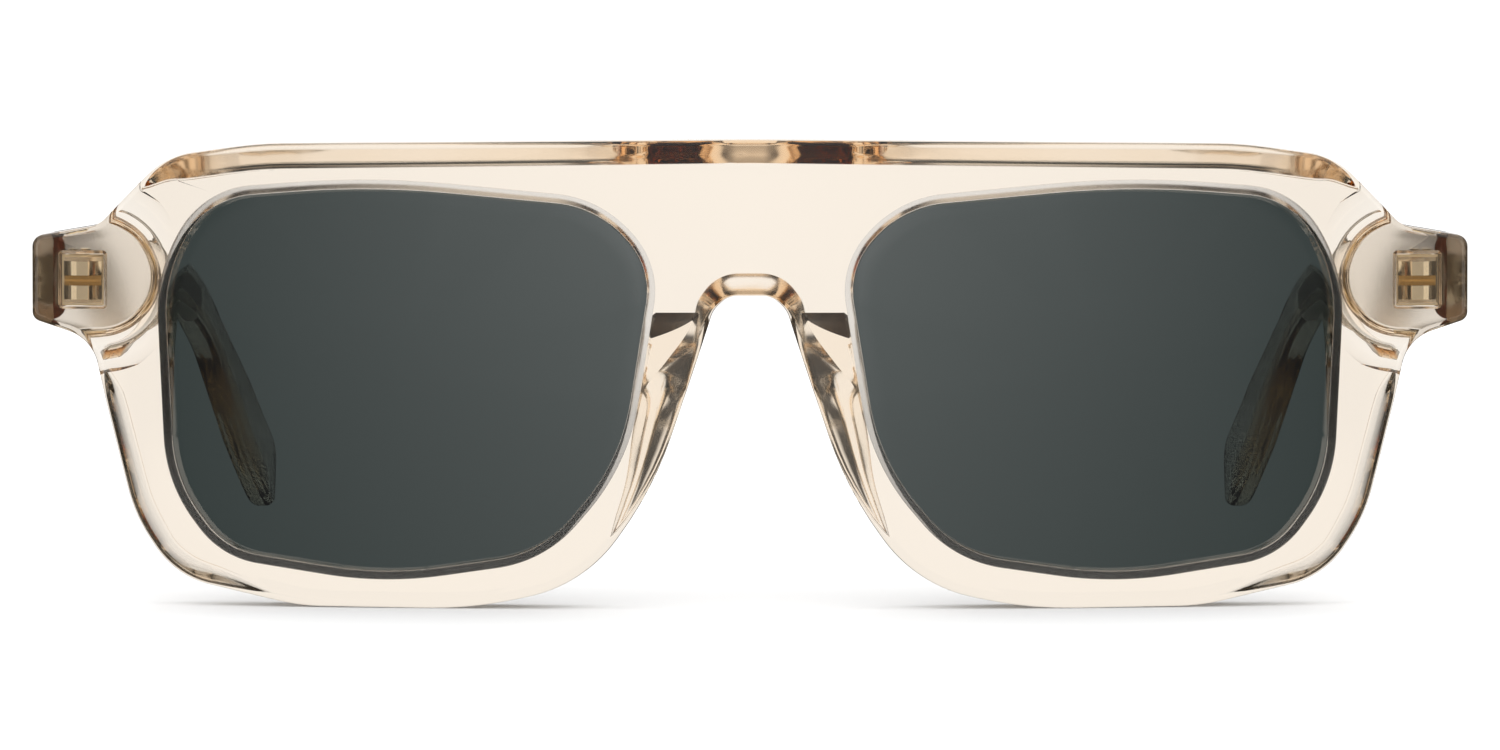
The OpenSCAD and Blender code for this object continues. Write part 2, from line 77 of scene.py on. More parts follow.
# %% Places taken from the frame
MM = 0.001
SEAT_DEPTH = 14.0
HINGE_BEHIND_SEAT = 1.7
joint = {j["name"]: j for j in frame["joints"]}
hinge_x, hinge_y, hinge_z = (v / MM for v in joint["fold_left"]["pos_m"])
FACE_Y = hinge_y - HINGE_BEHIND_SEAT - SEAT_DEPTH
OUTER_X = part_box("front")[1].x / MM
TOP_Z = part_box("front")[1].z / MM
print("front face at", round(FACE_Y, 2), "half width", round(OUTER_X, 2), "top", round(TOP_Z, 2))

# %% [markdown]
# The outlines are drawn as a maker draws them for the milling machine: a few
# corners, each with its radius. Small functions round the corners and space
# the points closely, and carry any extra value that a corner has, such as how
# wide the back edge is bevelled there. Blender's own curves could do the
# rounding, but not carry the bevel's width along.

# %% Rounded lines


def unit(v):
    """The same direction with a length of one."""
    return v / np.linalg.norm(v)


def ease(t):
    """A soft step: 0 below 0, 1 above 1, and level at both ends."""
    t = min(1.0, max(0.0, t))
    return t * t * (3 - 2 * t)


def bar_section(w, h, r, steps=6):
    """A rectangle w across and h high round its middle, with rounded corners."""
    out = []
    for sx, sz, a0 in ((1, 1, 0), (-1, 1, 90), (-1, -1, 180), (1, -1, 270)):
        for k in range(steps + 1):
            a = math.radians(a0 + 90 * k / steps)
            out.append((sx * (w / 2 - r) + r * math.cos(a), sz * (h / 2 - r) + r * math.sin(a)))
    return out


def rounded(corners, step_deg, loop):
    """Points of a polyline with rounded corners: x, z and whatever follows the radius."""
    pts = [np.array(c, float) for c in corners]
    out = []
    for i, c in enumerate(pts):
        if not loop and i in (0, len(pts) - 1):
            out.append(np.concatenate([c[:2], c[3:]]))
            continue
        p, p0, p1 = c[:2], pts[i - 1][:2], pts[(i + 1) % len(pts)][:2]
        la, lb = np.linalg.norm(p0 - p), np.linalg.norm(p1 - p)
        a, b = (p0 - p) / la, (p1 - p) / lb
        half = math.acos(np.clip(a @ b, -1, 1)) / 2
        # Where the rounding starts, at most half way to the next corner
        t = min(c[2] / math.tan(half), 0.49 * min(la, lb))
        r = t * math.tan(half)
        centre = p + unit(a + b) * (r / math.sin(half))
        q0, q1 = p + a * t - centre, p + b * t - centre
        a0 = math.atan2(q0[1], q0[0])
        turn = (math.atan2(q1[1], q1[0]) - a0 + math.pi) % (2 * math.pi) - math.pi
        n = max(3, math.ceil(abs(math.degrees(turn)) / step_deg))
        for k in range(n + 1):
            w = a0 + turn * k / n
            out.append(np.concatenate([centre + r * np.array([math.cos(w), math.sin(w)]), c[3:]]))
    return np.array(out)


def spaced(points, run):
    """The same open line with its long straight stretches divided."""
    out = []
    for a, b in zip(points[:-1], points[1:]):
        n = max(1, math.ceil(np.linalg.norm((b - a)[:2]) / run))
        out += [a + (b - a) * k / n for k in range(n)]
    return np.array(out + [points[-1]])


def left_normals(points, loop):
    """Unit normals to the left of the way along a line of points."""
    before = np.roll(points[:, :2], 1, 0)
    after = np.roll(points[:, :2], -1, 0)
    if not loop:
        before[0], after[-1] = points[0, :2], points[-1, :2]
    d = after - before
    d /= np.linalg.norm(d, axis=1)[:, None]
    return np.column_stack([-d[:, 1], d[:, 0]])


print("a rounded bar section has", len(bar_section(2, 2, 0.5)), "points")

# %% [markdown]
# The front has one outer line and two lens openings. The brow is nearly
# straight, the rims lean inward to rounded lower corners, and the nose line
# rises to a short flat bridge. Only the left half is drawn, since the other is
# its mirror image, and in a few corners, which can be read and changed where
# a traced line of many points can't.

# %% Outline and lens opening
# Left half of the front: x, z, corner radius, width of the back bevel.
OUTLINE = [
    (0, TOP_Z, 0, 2.75), (50, TOP_Z - 0.5, 40, 2.95), (58.2, 46.05, 8, 2.9), (60.5, 44.9, 10, 2.0),
    (63.2, 42.25, 12, 0.4), (OUTER_X - 6.9, 38.8, 3, 0.3), (OUTER_X, 37.6, 1.2, 0.3),
    (OUTER_X, 29.2, 1, 0.3), (OUTER_X - 6.2, 27.2, 4.5, 0.6), (65.8, 21, 60, 2), (62.9, 9.3, 17, 2.1),
    (58.8, 3, 9.5, 1.9), (46, 0.1, 22, 0.7), (28, -0.04, 42, 0.5), (16.9, 2.5, 18, 0.5),
    (9.8, 12.2, 60, 0.4), (5.4, 25.3, 60, 0.4), (4.45, 28.2, 8, 1.3), (3.75, 30.4, 2.5, 1.9),
    (2.2, 31.9, 2.5, 2.2), (0, 31.9, 0, 2.2),
]
# Middle line of the lip round the left lens: x, z, corner radius.
EYE = [
    (38.5, 43.4, 150), (55.3, 42.05, 11), (60.1, 33.9, 20), (59.1, 12.7, 30), (53.7, 5.4, 8.7),
    (37.2, 2.9, 40), (21, 5.3, 12.7), (12.7, 15, 30), (9.5, 35, 8.1), (15.4, 41.3, 11.5),
]
RUN = 0.9
BEVEL_BLEND = 1.6
rim = spaced(rounded(OUTLINE, 3, False), RUN)
# The bevel's width changes softly from corner to corner
way = np.concatenate([[0], np.cumsum(np.linalg.norm(np.diff(rim[:, :2], axis=0), axis=1))])
nearness = np.exp(-((way[:, None] - way[None, :]) / BEVEL_BLEND) ** 2)
rim[:, 2] = (nearness * np.gradient(way)) @ rim[:, 2] / (nearness @ np.gradient(way))
rim_n = left_normals(rim, False)
rim_n[0], rim_n[-1] = (0, 1), (0, -1)
eye = rounded(EYE, 1.5, True)
eye_n = left_normals(eye, True)
print("outline", len(rim), "points; lens opening", len(eye), "points")

# %% [markdown]
# The front is a flat sheet of acetate, heated and pressed to a face curve. So
# every point is drawn flat, then laid on a sphere of the face's radius, at its
# own depth behind the front face. A bend modifier turns round one axis only
# and would stretch the back.

# %% The face curve
FACE_R = 330.0
FACE_Z = 24.4
SHEET = 6.0


def on_face(p, depth):
    """A flat point p = (x, z), laid on the bent sheet at a depth behind its front."""
    drop = math.sqrt((FACE_R - depth) ** 2 - p[0] ** 2 - (p[1] - FACE_Z) ** 2)
    return (p[0], FACE_Y + FACE_R - drop, p[1])


print("the ends lie", round(on_face((OUTER_X, FACE_Z), 0)[1] - FACE_Y, 1), "mm behind the middle")

# %% [markdown]
# The lens sits in a groove inside the lip of its opening. The groove could be
# cut into a finished rim, but as part of each section it keeps its depth all
# the way round. It is deeper than the lens needs, with a little air beside it.

# %% Lens groove
# The lip's wall lies half a lip inside its middle line
LIP_HALF = 0.4
FRONT_LIP = 1.1
LENS_T = 2.0
GROOVE_CLEAR = 0.05
GROOVE_DEEP = 0.85
groove_front = FRONT_LIP
groove_back = FRONT_LIP + LENS_T + 2 * GROOVE_CLEAR
LIP_FRONT = 0.06
LIP_BACK = 0.5


def softened(a, corner, b, n=2):
    """n points of a small curve that rounds a corner between a and b."""
    a, corner, b = np.array(a), np.array(corner), np.array(b)
    shares = [(k + 1) / (n + 1) for k in range(n)]
    return [a * (1 - t) ** 2 + 2 * corner * t * (1 - t) + b * t * t for t in shares]


def quarter(n):
    """n angles inside a quarter turn, as sine and one minus cosine."""
    angles = [math.pi / 2 * (k + 1) / (n + 1) for k in range(n)]
    return [(math.sin(a), 1 - math.cos(a)) for a in angles]


def inner_section(front_outer, back_outer, lip, lip_normal):
    """From the front's outer line in, through the lens groove and out along the back."""
    near = lip - LIP_HALF * lip_normal
    front = near + LIP_FRONT * lip_normal
    deep = near + GROOVE_DEEP * lip_normal
    out = [(front_outer + (front - front_outer) * k / 5, 0.0) for k in range(6)]
    out += [(near + LIP_FRONT * (1 - s) * lip_normal, LIP_FRONT * c) for s, c in quarter(3)]
    out += [(near, LIP_FRONT), (near, groove_front), (deep, groove_front)]
    out += [(deep, groove_back), (near, groove_back)]
    # The back of the lip is broken with a 45 degree cutter and softly rounded on both sides
    wall, facet = SHEET - LIP_BACK, LIP_BACK / 4
    for a, b, c in (((0, wall - facet), (0, wall), (facet, wall + facet)),
                    ((LIP_BACK - facet, SHEET - facet), (LIP_BACK, SHEET), (LIP_BACK + facet, SHEET))):
        out += [(near + q[0] * lip_normal, q[1]) for q in (a, *softened(a, b, c, 3), c)]
    back = near + (LIP_BACK + facet) * lip_normal
    out += [(back + (back_outer - back) * k / 5, SHEET) for k in range(1, 6)]
    return out


print("groove from", groove_front, "to", round(groove_back, 2), "mm behind the face")

# %% [markdown]
# A section through the rim goes from the rounded front edge, along the front,
# through the groove, back along the rear face, down the broad polished bevel
# and up the outer wall. Each outline point gets such a section, and joining
# them makes the bent ring as a maker would mill it, instead of a boolean of
# thick shapes that would lose the small roundings where the light plays.

# %% Sections of the rim
FRONT_ROUND = 0.7
# Depth of the back bevel for each millimetre of its width, and the rounding of its edges
BEVEL_DEEP = 1.03
EDGE_SOFT = 0.16
# Each section looks for the lip along a ray from the middle of the lens
RAY_CENTRE = np.array([35.4, 28.3])
# Nearer to the middle than FAN_FROM, the sections under the bridge aim higher, by up to FAN_RISE
UNDER_BRIDGE = 33
FAN_RISE = 5.3
FAN_FROM = 4.3
# The underside of the bridge is filed in three facets: share of the bevel's width,
# and the filed shares of its width and depth
BRIDGE_FACETS = ((0.66, 0.66, 0.6), (0.34, 0.3, 0.42))
FILED_TO, FILED_RUN = 2.7, 1.2


def opening_beyond(direction):
    """Where a ray from the middle of the lens meets the lip line, and the normal there."""
    rel = eye - RAY_CENTRE
    nxt = np.roll(rel, -1, 0)
    ca = direction[0] * rel[:, 1] - direction[1] * rel[:, 0]
    cb = direction[0] * nxt[:, 1] - direction[1] * nxt[:, 0]
    hit = np.where((ca >= 0) & (cb < 0) & (rel @ direction > 0))[0][0]
    u = ca[hit] / (ca[hit] - cb[hit])
    after = (hit + 1) % len(eye)
    return eye[hit] * (1 - u) + eye[after] * u, unit(eye_n[hit] * (1 - u) + eye_n[after] * u)


def fan(o):
    """How much higher a section under the bridge aims at the lens, so that none cross behind the bevel."""
    return 0 if o[1] > UNDER_BRIDGE else FAN_RISE * max(0, 1 - o[0] / FAN_FROM) ** 0.6


def rim_section(i):
    """The closed section at point i of the outline: flat points, each with its depth."""
    o, n, b = rim[i, :2], rim_n[i], rim[i, 2]
    lip, lip_normal = opening_beyond(unit(o + (0, fan(o)) - RAY_CENTRE))
    deep = b * BEVEL_DEEP
    e = min(EDGE_SOFT, b / 4)
    d = e / b
    wall = SHEET - deep
    # From here on: how far in from the outline, and the depth
    back_edge = softened((b + e, SHEET), (b, SHEET), (b - d * b, SHEET - d * deep))
    facets = ease((FILED_TO - o[0]) / FILED_RUN) if o[1] < UNDER_BRIDGE else 0
    bevel = []
    for t, t_filed, deep_filed in ((1 - d, 1 - d, 1 - d), *BRIDGE_FACETS, (d, d, d)):
        bevel.append((b * (t + (t_filed - t) * facets), wall + deep * (t + (deep_filed - t) * facets)))
    wall_edge = softened((b * d, wall + deep * d), (0, wall), (0, wall - e))
    outer = [*back_edge, *bevel, *wall_edge, (0, wall - e), (0, (wall + FRONT_ROUND) / 2), (0, FRONT_ROUND)]
    outer += [(FRONT_ROUND * c, FRONT_ROUND * (1 - s)) for s, c in quarter(4)]
    inner = inner_section(o - FRONT_ROUND * n, o - (b + e) * n, lip, lip_normal)
    return inner + [(o - inset * n, depth) for inset, depth in outer]


def bridge_section(u):
    """A section that starts on the middle line, a share u of the way up the bridge."""
    low, top = rim[-1], rim[0]
    z_front = (low[1] + FRONT_ROUND) * (1 - u) + (top[1] - FRONT_ROUND) * u
    z_back = (low[1] + low[2] + EDGE_SOFT) * (1 - u) + (top[1] - top[2] - EDGE_SOFT) * u
    z_ray = (low[1] + FAN_RISE) * (1 - u) + top[1] * u
    lip, lip_normal = opening_beyond(unit(np.array([0, z_ray]) - RAY_CENTRE))
    return inner_section(np.array([0, z_front]), np.array([0, z_back]), lip, lip_normal)


print("a section has", len(rim_section(0)), "points")

# %% [markdown]
# Helpers turn rows of points into a mesh object. Faces that meet at more than
# a given angle keep a sharp edge, the others are shaded smooth, which is what
# makes a polished curve look like one surface. Cuts are boolean modifiers
# that are applied at once.

# %% Mesh helpers


def tidy(obj, sharp_deg, merge=0.000002):
    """Merges doubled points, makes the faces look outward and shades them."""
    bm = bmesh.new()
    bm.from_mesh(obj.data)
    bmesh.ops.remove_doubles(bm, verts=bm.verts, dist=merge)
    bmesh.ops.recalc_face_normals(bm, faces=bm.faces)
    bm.to_mesh(obj.data)
    bm.free()
    obj.data.shade_smooth()
    obj.data.set_sharp_from_angle(angle=math.radians(sharp_deg))


def new_object(name, verts, faces, sharp_deg=40):
    """A mesh object in the scene, from points in millimetres."""
    mesh = bpy.data.meshes.new(name)
    mesh.from_pydata([tuple(c * MM for c in v) for v in verts], [], faces)
    obj = bpy.data.objects.new(name, mesh)
    bpy.context.scene.collection.objects.link(obj)
    tidy(obj, sharp_deg)
    return obj


def strips(rows, close_columns=False):
    """Quads between rows of equal length, given as lists of point numbers."""
    out = []
    for a, b in zip(rows, rows[1:]):
        m = len(a) if close_columns else len(a) - 1
        out += [(a[c], a[(c + 1) % len(a)], b[(c + 1) % len(a)], b[c]) for c in range(m)]
    return out


def solid(name, loops, sharp_deg=40):
    """A closed solid from rings of points with the same count, capped at both ends."""
    verts = [v for loop in loops for v in loop]
    m = len(loops[0])
    rows = [list(range(i * m, i * m + m)) for i in range(len(loops))]
    faces = strips(rows, close_columns=True) + [tuple(rows[0][::-1]), tuple(rows[-1])]
    return new_object(name, verts, faces, sharp_deg)


def combine(obj, tool, operation):
    """Joins or cuts obj with a closed tool, and removes the tool."""
    mod = obj.modifiers.new("cut", "BOOLEAN")
    mod.object = tool
    mod.operation = operation
    mod.solver = "MANIFOLD"
    bpy.context.view_layer.objects.active = obj
    with bpy.context.temp_override(object=obj, active_object=obj, selected_objects=[obj]):
        bpy.ops.object.modifier_apply(modifier=mod.name)
    bpy.data.objects.remove(tool)


def mirrored(obj, name):
    """A copy of obj on the other side of the nose."""
    mesh = obj.data.copy()
    twin = bpy.data.objects.new(name, mesh)
    bpy.context.scene.collection.objects.link(twin)
    for v in mesh.vertices:
        v.co.x = -v.co.x
    mesh.flip_normals()
    return twin


def both_sides(obj, tool, operation):
    """Uses a tool on the left half of obj and its mirror image on the right half."""
    combine(obj, mirrored(tool, "tool_right"), operation)
    combine(obj, tool, operation)


# %% [markdown]
# The bent front is put together from the sections of the left half, a few more
# up the middle of the bridge, and their mirror image, so both halves meet in
# the same points and the skin is closed.

# %% Bend the front
BRIDGE_ROWS = 12
half_rows = [rim_section(i) for i in range(len(rim))]
bridge_rows = [bridge_section((j + 1) / (BRIDGE_ROWS + 1)) for j in range(BRIDGE_ROWS)]
points, numbers = [], []
for row in half_rows + bridge_rows:
    numbers.append(list(range(len(points), len(points) + len(row))))
    points += [on_face(p, d) for p, d in row]
rim_rows, mid_rows = numbers[:len(rim)], numbers[len(rim):]
inner_n = len(bridge_rows[0])
faces = strips(rim_rows, close_columns=True)
faces += strips([rim_rows[-1][:inner_n]] + mid_rows + [rim_rows[0][:inner_n]])
other = [(-x, y, z) for x, y, z in points]
both = faces + [tuple(len(points) + i for i in f[::-1]) for f in faces]
front = new_object("acetate_front", points + other, both)
print("front sheet", len(front.data.polygons), "faces")

# %% [markdown]
# Saws and milling cutters are simple closed solids here: a flat outline pushed
# along one direction. Each reaches a little past what it cuts, because a tool
# that ends in the very face that it cuts leaves stray slivers.

# %% Simple tools
TOOL_PAST = 3


def prism(name, outline, depth_a, depth_b):
    """A closed solid over a flat outline in X and Z, between two depths."""
    return solid(name, [[(p[0], FACE_Y + d, p[1]) for p in outline] for d in (depth_a, depth_b)])


def slab(name, outline, z_a, z_b):
    """A closed solid over a flat outline in X and depth, between two heights."""
    return solid(name, [[(p[0], FACE_Y + p[1], z) for p in outline] for z in (z_a, z_b)])


def box_shape(x, depth, z):
    """A block between two places in each direction."""
    return slab("box", [(x[0], depth[0]), (x[1], depth[0]), (x[1], depth[1]), (x[0], depth[1])], *z)


def disc(x, z, r, n=96):
    """Points of a circle."""
    return [(x + r * math.cos(2 * math.pi * k / n), z + r * math.sin(2 * math.pi * k / n)) for k in range(n)]


print("a turned tool has", len(disc(0, 0, 1)), "points round")

# %% [markdown]
# Behind each end piece stands a half-round platform that carries the hinge.
# On the real front it is milled from the same block, with a hollow ring of a
# fillet round it. Here it is a turned shape, cut to the outline of the front
# and joined to the sheet. The inset of a few hundredths keeps the two walls
# from lying exactly in one plane, which boolean joins don't like.

# %% End platforms
PLATFORM_X = OUTER_X - 7.1
PLATFORM_Z = hinge_z + 0.4
PLATFORM_R = 5.25
RING_FLOOR = SEAT_DEPTH - 2.8
RING_FILLET = 2.2
RING_SLOPE_R = 3.5
RING_SLOPE_FROM = PLATFORM_R + 2.3
RING_RISE_DEG = 4
RING_RUN_OUT = 9
# How deep the platform and its block are sunk in the sheet, so that they join it fully.
PLATFORM_SUNK, BLOCK_SUNK = 5, 4.9
WALL_INSET = 0.03
# The end piece: outline points further out than END_X, between two heights, closed off at END_IN.
END_X = 57
END_LOW, END_HIGH, END_IN = 14, 44.5, 50
LIMIT_FROM = 1


def ring_profile():
    """Radius and depth round the cutter's path: platform wall, hollow fillet, floor, rising edge."""
    arc = [math.pi / 2 * k / 10 for k in range(11)]
    low = RING_FLOOR + RING_FILLET
    inner = [(PLATFORM_R + RING_FILLET * (1 - math.cos(a)), low - RING_FILLET * math.sin(a)) for a in arc]
    rise = [math.radians(RING_RISE_DEG * k) for k in range(11)]
    outer = [(RING_SLOPE_FROM + RING_SLOPE_R * math.sin(a), RING_FLOOR + RING_SLOPE_R * (1 - math.cos(a)))
             for a in rise]
    over = SEAT_DEPTH + TOOL_PAST
    return [(PLATFORM_R, over)] + inner + outer + [(outer[-1][0] + 0.3, over)]


def ring_tool():
    """The cutter's path: in straight over the block, half round the platform and out again."""
    def across(x, z, nx, nz):
        return [(x + r * nx, FACE_Y + d, z + r * nz) for r, d in ring_profile()]
    turns = [math.pi / 2 + math.pi * k / 60 for k in range(61)]
    loops = [across(PLATFORM_X + RING_RUN_OUT, PLATFORM_Z, 0, 1)]
    loops += [across(PLATFORM_X, PLATFORM_Z, math.cos(a), math.sin(a)) for a in turns]
    loops += [across(PLATFORM_X + RING_RUN_OUT, PLATFORM_Z, 0, -1)]
    return solid("ring", loops)


full_r = PLATFORM_R + RING_FILLET + 0.5
platform = prism("platform", disc(PLATFORM_X, PLATFORM_Z, full_r), SEAT_DEPTH - PLATFORM_SUNK, SEAT_DEPTH)
end_block = box_shape((PLATFORM_X, OUTER_X + 1), (SEAT_DEPTH - BLOCK_SUNK, SEAT_DEPTH),
                      (PLATFORM_Z - PLATFORM_R - 1, PLATFORM_Z + PLATFORM_R + 1))
combine(platform, end_block, "UNION")
end_region = (rim[:, 0] > END_X) & (rim[:, 1] > END_LOW) & (rim[:, 1] < END_HIGH)
limits = [p[:2] - WALL_INSET * n for p, n, keep in zip(rim, rim_n, end_region) if keep]
limits += [(END_IN, END_LOW), (END_IN, END_HIGH)]
combine(platform, prism("limits", limits, LIMIT_FROM, SEAT_DEPTH + TOOL_PAST), "INTERSECT")
opening = eye[:, :2] - LIP_HALF * eye_n
combine(platform, prism("opening", opening, LIMIT_FROM, SEAT_DEPTH + TOOL_PAST), "DIFFERENCE")
both_sides(front, platform, "UNION")
both_sides(front, ring_tool(), "DIFFERENCE")
print("front with platforms", len(front.data.polygons), "faces")

# %% [markdown]
# Front and temple meet in a mitre of 45 degrees, so that no joint line shows
# from straight ahead. The same solid cuts both of them later, so the two
# faces fit. Behind the mitre the hinge's foot is pressed into a pocket of its
# own, and its leaf lies in a shallow recess that widens toward its mouth.

# %% Mitre and hinge pocket
MITRE = 2.4
FOOT_W, FOOT_H, FOOT_D = 3.9, 4.6, 2.1
LEAF_W, LEAF_H, LEAF_T = 4.3, 5.2, 0.7
FIT = 0.05
POCKET_SIDE, POCKET_FLOOR = 0.1, 0.08
FOOT_IN = 0.3
foot_x = hinge_x - FOOT_IN
foot_depth = SEAT_DEPTH - LEAF_T - FOOT_D
# How far the mitre's cut reaches: out past the end, in, back, up and down.
CUT_OUT, CUT_IN, CUT_BACK, CUT_UP = 4, 16, 20, 12
# The recess: depth against the seat, how much wider than the leaf.
RECESS = [(-LEAF_T - FIT, 2 * FIT), (-LEAF_T + 0.05, 3 * FIT), (-0.3, 0.5), (0, 0.75), (2, 0.75)]


def mitre_solid(gap):
    """What the 45 degree cut takes away from the front, for a gap behind its seat."""
    seat = SEAT_DEPTH + gap
    far, inner, back = OUTER_X + CUT_OUT, OUTER_X - CUT_IN, seat + CUT_BACK
    outline = [(far, seat - MITRE - CUT_OUT), (OUTER_X - MITRE, seat), (inner, seat),
               (inner, back), (far, back)]
    return slab("mitre", outline, hinge_z - CUT_UP, hinge_z + CUT_UP)


def recess_ring(depth, wider):
    """The outline of the leaf, a little wider, at a depth against the seat."""
    section = bar_section(LEAF_W + wider, LEAF_H + wider, 0.1 + wider / 2)
    return [(foot_x + x, FACE_Y + SEAT_DEPTH + depth, hinge_z + z) for x, z in section]


both_sides(front, mitre_solid(0.0), "DIFFERENCE")
pocket = box_shape((foot_x - FOOT_W / 2 - POCKET_SIDE, foot_x + FOOT_W / 2 + POCKET_SIDE),
                   (foot_depth - POCKET_FLOOR, SEAT_DEPTH + 1),
                   (hinge_z - FOOT_H / 2 - POCKET_SIDE, hinge_z + FOOT_H / 2 + POCKET_SIDE))
both_sides(front, pocket, "DIFFERENCE")
both_sides(front, solid("recess", [recess_ring(d, wider) for d, wider in RECESS]), "DIFFERENCE")
print("front with pockets", len(front.data.polygons), "faces")

# %% [markdown]
# The foot of the front hinge is what the photo shows through the end piece: a
# bar with two roof shapes and a filed groove between them, which anchors it in
# the acetate. Leaf and knuckles are a copy of the solid's own. Only its plain
# foot is exchanged for the filed one, so that each facet shines apart.

# %% Front hinges with their filed feet
RIDGE_OUT, RIDGE_IN = 0.68, 0.52
ROOF_DEEP = 0.7
STUD_FROM, STUD_TO = 0.52, 1.95
FOOT_SUNK = 0.2
BAR_INSET = 0.02
# Half the size of the block that takes the plain foot away, and how little it leaves of the leaf's face.
FOOT_ROOM, LEAF_SKIN = 4, 0.01
foot_end, half_foot = FOOT_D + FOOT_SUNK, FOOT_H / 2
# The bar below the roofs, seen from the side: height, depth behind the ridge.
FOOT_BAR = [
    (-half_foot, foot_end), (-half_foot, 1.6), (-STUD_TO, 0.9), (-STUD_FROM, 0.75), (0, 1.8),
    (STUD_FROM, 0.75), (STUD_TO, 0.9), (half_foot, 1.6), (half_foot, foot_end),
]


def stud(up):
    """One of the two roof shapes of the foot, above or below the filed groove."""
    def ring(x_out, x_in, deep):
        corners = [(x_in, STUD_FROM), (x_out, STUD_FROM), (x_out, STUD_TO), (x_in, STUD_TO)]
        return [(foot_x + x, FACE_Y + foot_depth + deep, hinge_z + up * z) for x, z in corners]
    wide = FOOT_W / 2
    ridge, eaves = ring(RIDGE_OUT, -RIDGE_IN, 0), ring(wide, -wide, ROOF_DEEP)
    return solid("stud", [ridge, eaves, ring(wide, -wide, foot_end)])


def sided(tool, side):
    """The tool itself for the left side, or its mirror image for the right."""
    if side == "left":
        return tool
    twin = mirrored(tool, "twin")
    bpy.data.objects.remove(tool)
    return twin


hinge_front = {}
for side in ("left", "right"):
    node = frame["nodes"]["front_hinge_" + side]
    shape = node.data.copy()
    shape.transform(node.matrix_world)
    obj = bpy.data.objects.new("front_hinge_" + side + "_filed", shape)
    bpy.context.scene.collection.objects.link(obj)
    tidy(obj, 30)
    plain_foot = box_shape((foot_x - FOOT_ROOM, foot_x + FOOT_ROOM),
                           (foot_depth - 1, SEAT_DEPTH - LEAF_T + LEAF_SKIN),
                           (hinge_z - FOOT_ROOM, hinge_z + FOOT_ROOM))
    base = solid("bar", [[(foot_x + x, FACE_Y + foot_depth + deep, hinge_z + z) for z, deep in FOOT_BAR]
                         for x in (-FOOT_W / 2 + BAR_INSET, FOOT_W / 2 - BAR_INSET)])
    combine(obj, sided(plain_foot, side), "DIFFERENCE")
    for part in (base, stud(1), stud(-1)):
        combine(obj, sided(part, side), "UNION")
    tidy(obj, 30)
    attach(obj, "front")
    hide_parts("front_hinge_" + side)
    hinge_front[side] = obj
    print("front hinge", side, len(obj.data.polygons), "faces")

# %% [markdown]
# The nose pads are blocks of the same acetate, cemented behind the rims and
# filed to shape, so light passes the joint as if it were not there. That is
# why they are joined to the front here. Each is a height field over the strip
# between the nose edge and an inner line: a steep end at the top, a flat
# shoulder beside the lens that runs out, and a long rounded ridge below.

# %% Shape of the nose pads
PAD_TOP, PAD_LOW = 30.0, 6.6
PAD_H = 3.8
PAD_SUNK = 0.8
PAD_RIDGE = 21.0
# Height of the shoulder as a share of the ridge
SHOULDER = 0.86
# Height of the steep end beside the nose edge, and how much more of it there is beside the lens.
STEEP_LOW, STEEP_MORE = 0.3, 2.5
# The shoulder falls off beside the lens over this share of the pad's width.
SIDE_FALL_OFF = 0.05
# From this far below the ridge's top, the ridge turns into the shoulder over a stretch.
BLEND_BELOW, BLEND_RUN = 2.5, 7.5
# The ridge's top lies a little toward the lens, and it is blunter than a sine.
RIDGE_SKEW, RIDGE_BLUNT = 1.15, 0.8
NARROWEST = 0.1
PAD_CLEAR = 0.02
# Height, distance from the middle: the inner line, and the crest of the shoulder.
PAD_INNER = [(6.6, 14.5), (12.8, 12.6), (18.3, 11.8), (22.3, 11.0), (26, 10.4), (30, 9.75)]
PAD_CREST = [(6.6, 14.5), (22.3, 10.6), (24.9, 8.5), (28.9, 5.9), (30, 5.7)]
# Height, width of the front's own bevel below the pad.
PAD_BEVEL = [(6.6, 0.4), (25.3, 0.4), (28.6, 1.2), (30, 1.3)]
nose_side = rim[(rim[:, 0] < 20) & (rim[:, 0] > 3.1) & (rim[:, 1] < 31.5)]
nose_side = nose_side[np.argsort(nose_side[:, 1])]


def smooth_line(rows, z):
    """The value at height z on a smooth line through rows of height and value."""
    zs, xs = np.array(rows, float).T
    slopes = np.gradient(xs, zs)
    i = int(np.clip(np.searchsorted(zs, z) - 1, 0, len(zs) - 2))
    h = zs[i + 1] - zs[i]
    t = (z - zs[i]) / h
    return ((1 + 2 * t) * (1 - t) ** 2 * xs[i] + t * (1 - t) ** 2 * h * slopes[i]
            + t * t * (3 - 2 * t) * xs[i + 1] + t * t * (t - 1) * h * slopes[i + 1])


def pad_edges(z):
    """Where a pad starts beside the nose edge, and where it ends beside the lens."""
    nose_edge = float(np.interp(z, nose_side[:, 1], nose_side[:, 0]))
    outer = nose_edge + np.interp(z, *np.array(PAD_BEVEL).T) + PAD_CLEAR
    return outer, max(smooth_line(PAD_INNER, z), outer + NARROWEST)


def pad_crest(z):
    """How far across the crest of the shoulder lies at a height, as a share."""
    x0, x1 = pad_edges(z)
    return np.clip((smooth_line(PAD_CREST, z) - x0) / (x1 - x0), 0.08, 1)


def pad_end(v):
    """Height of the steep end, low beside the nose edge and high beside the lens."""
    return STEEP_LOW + STEEP_MORE * v ** 0.6


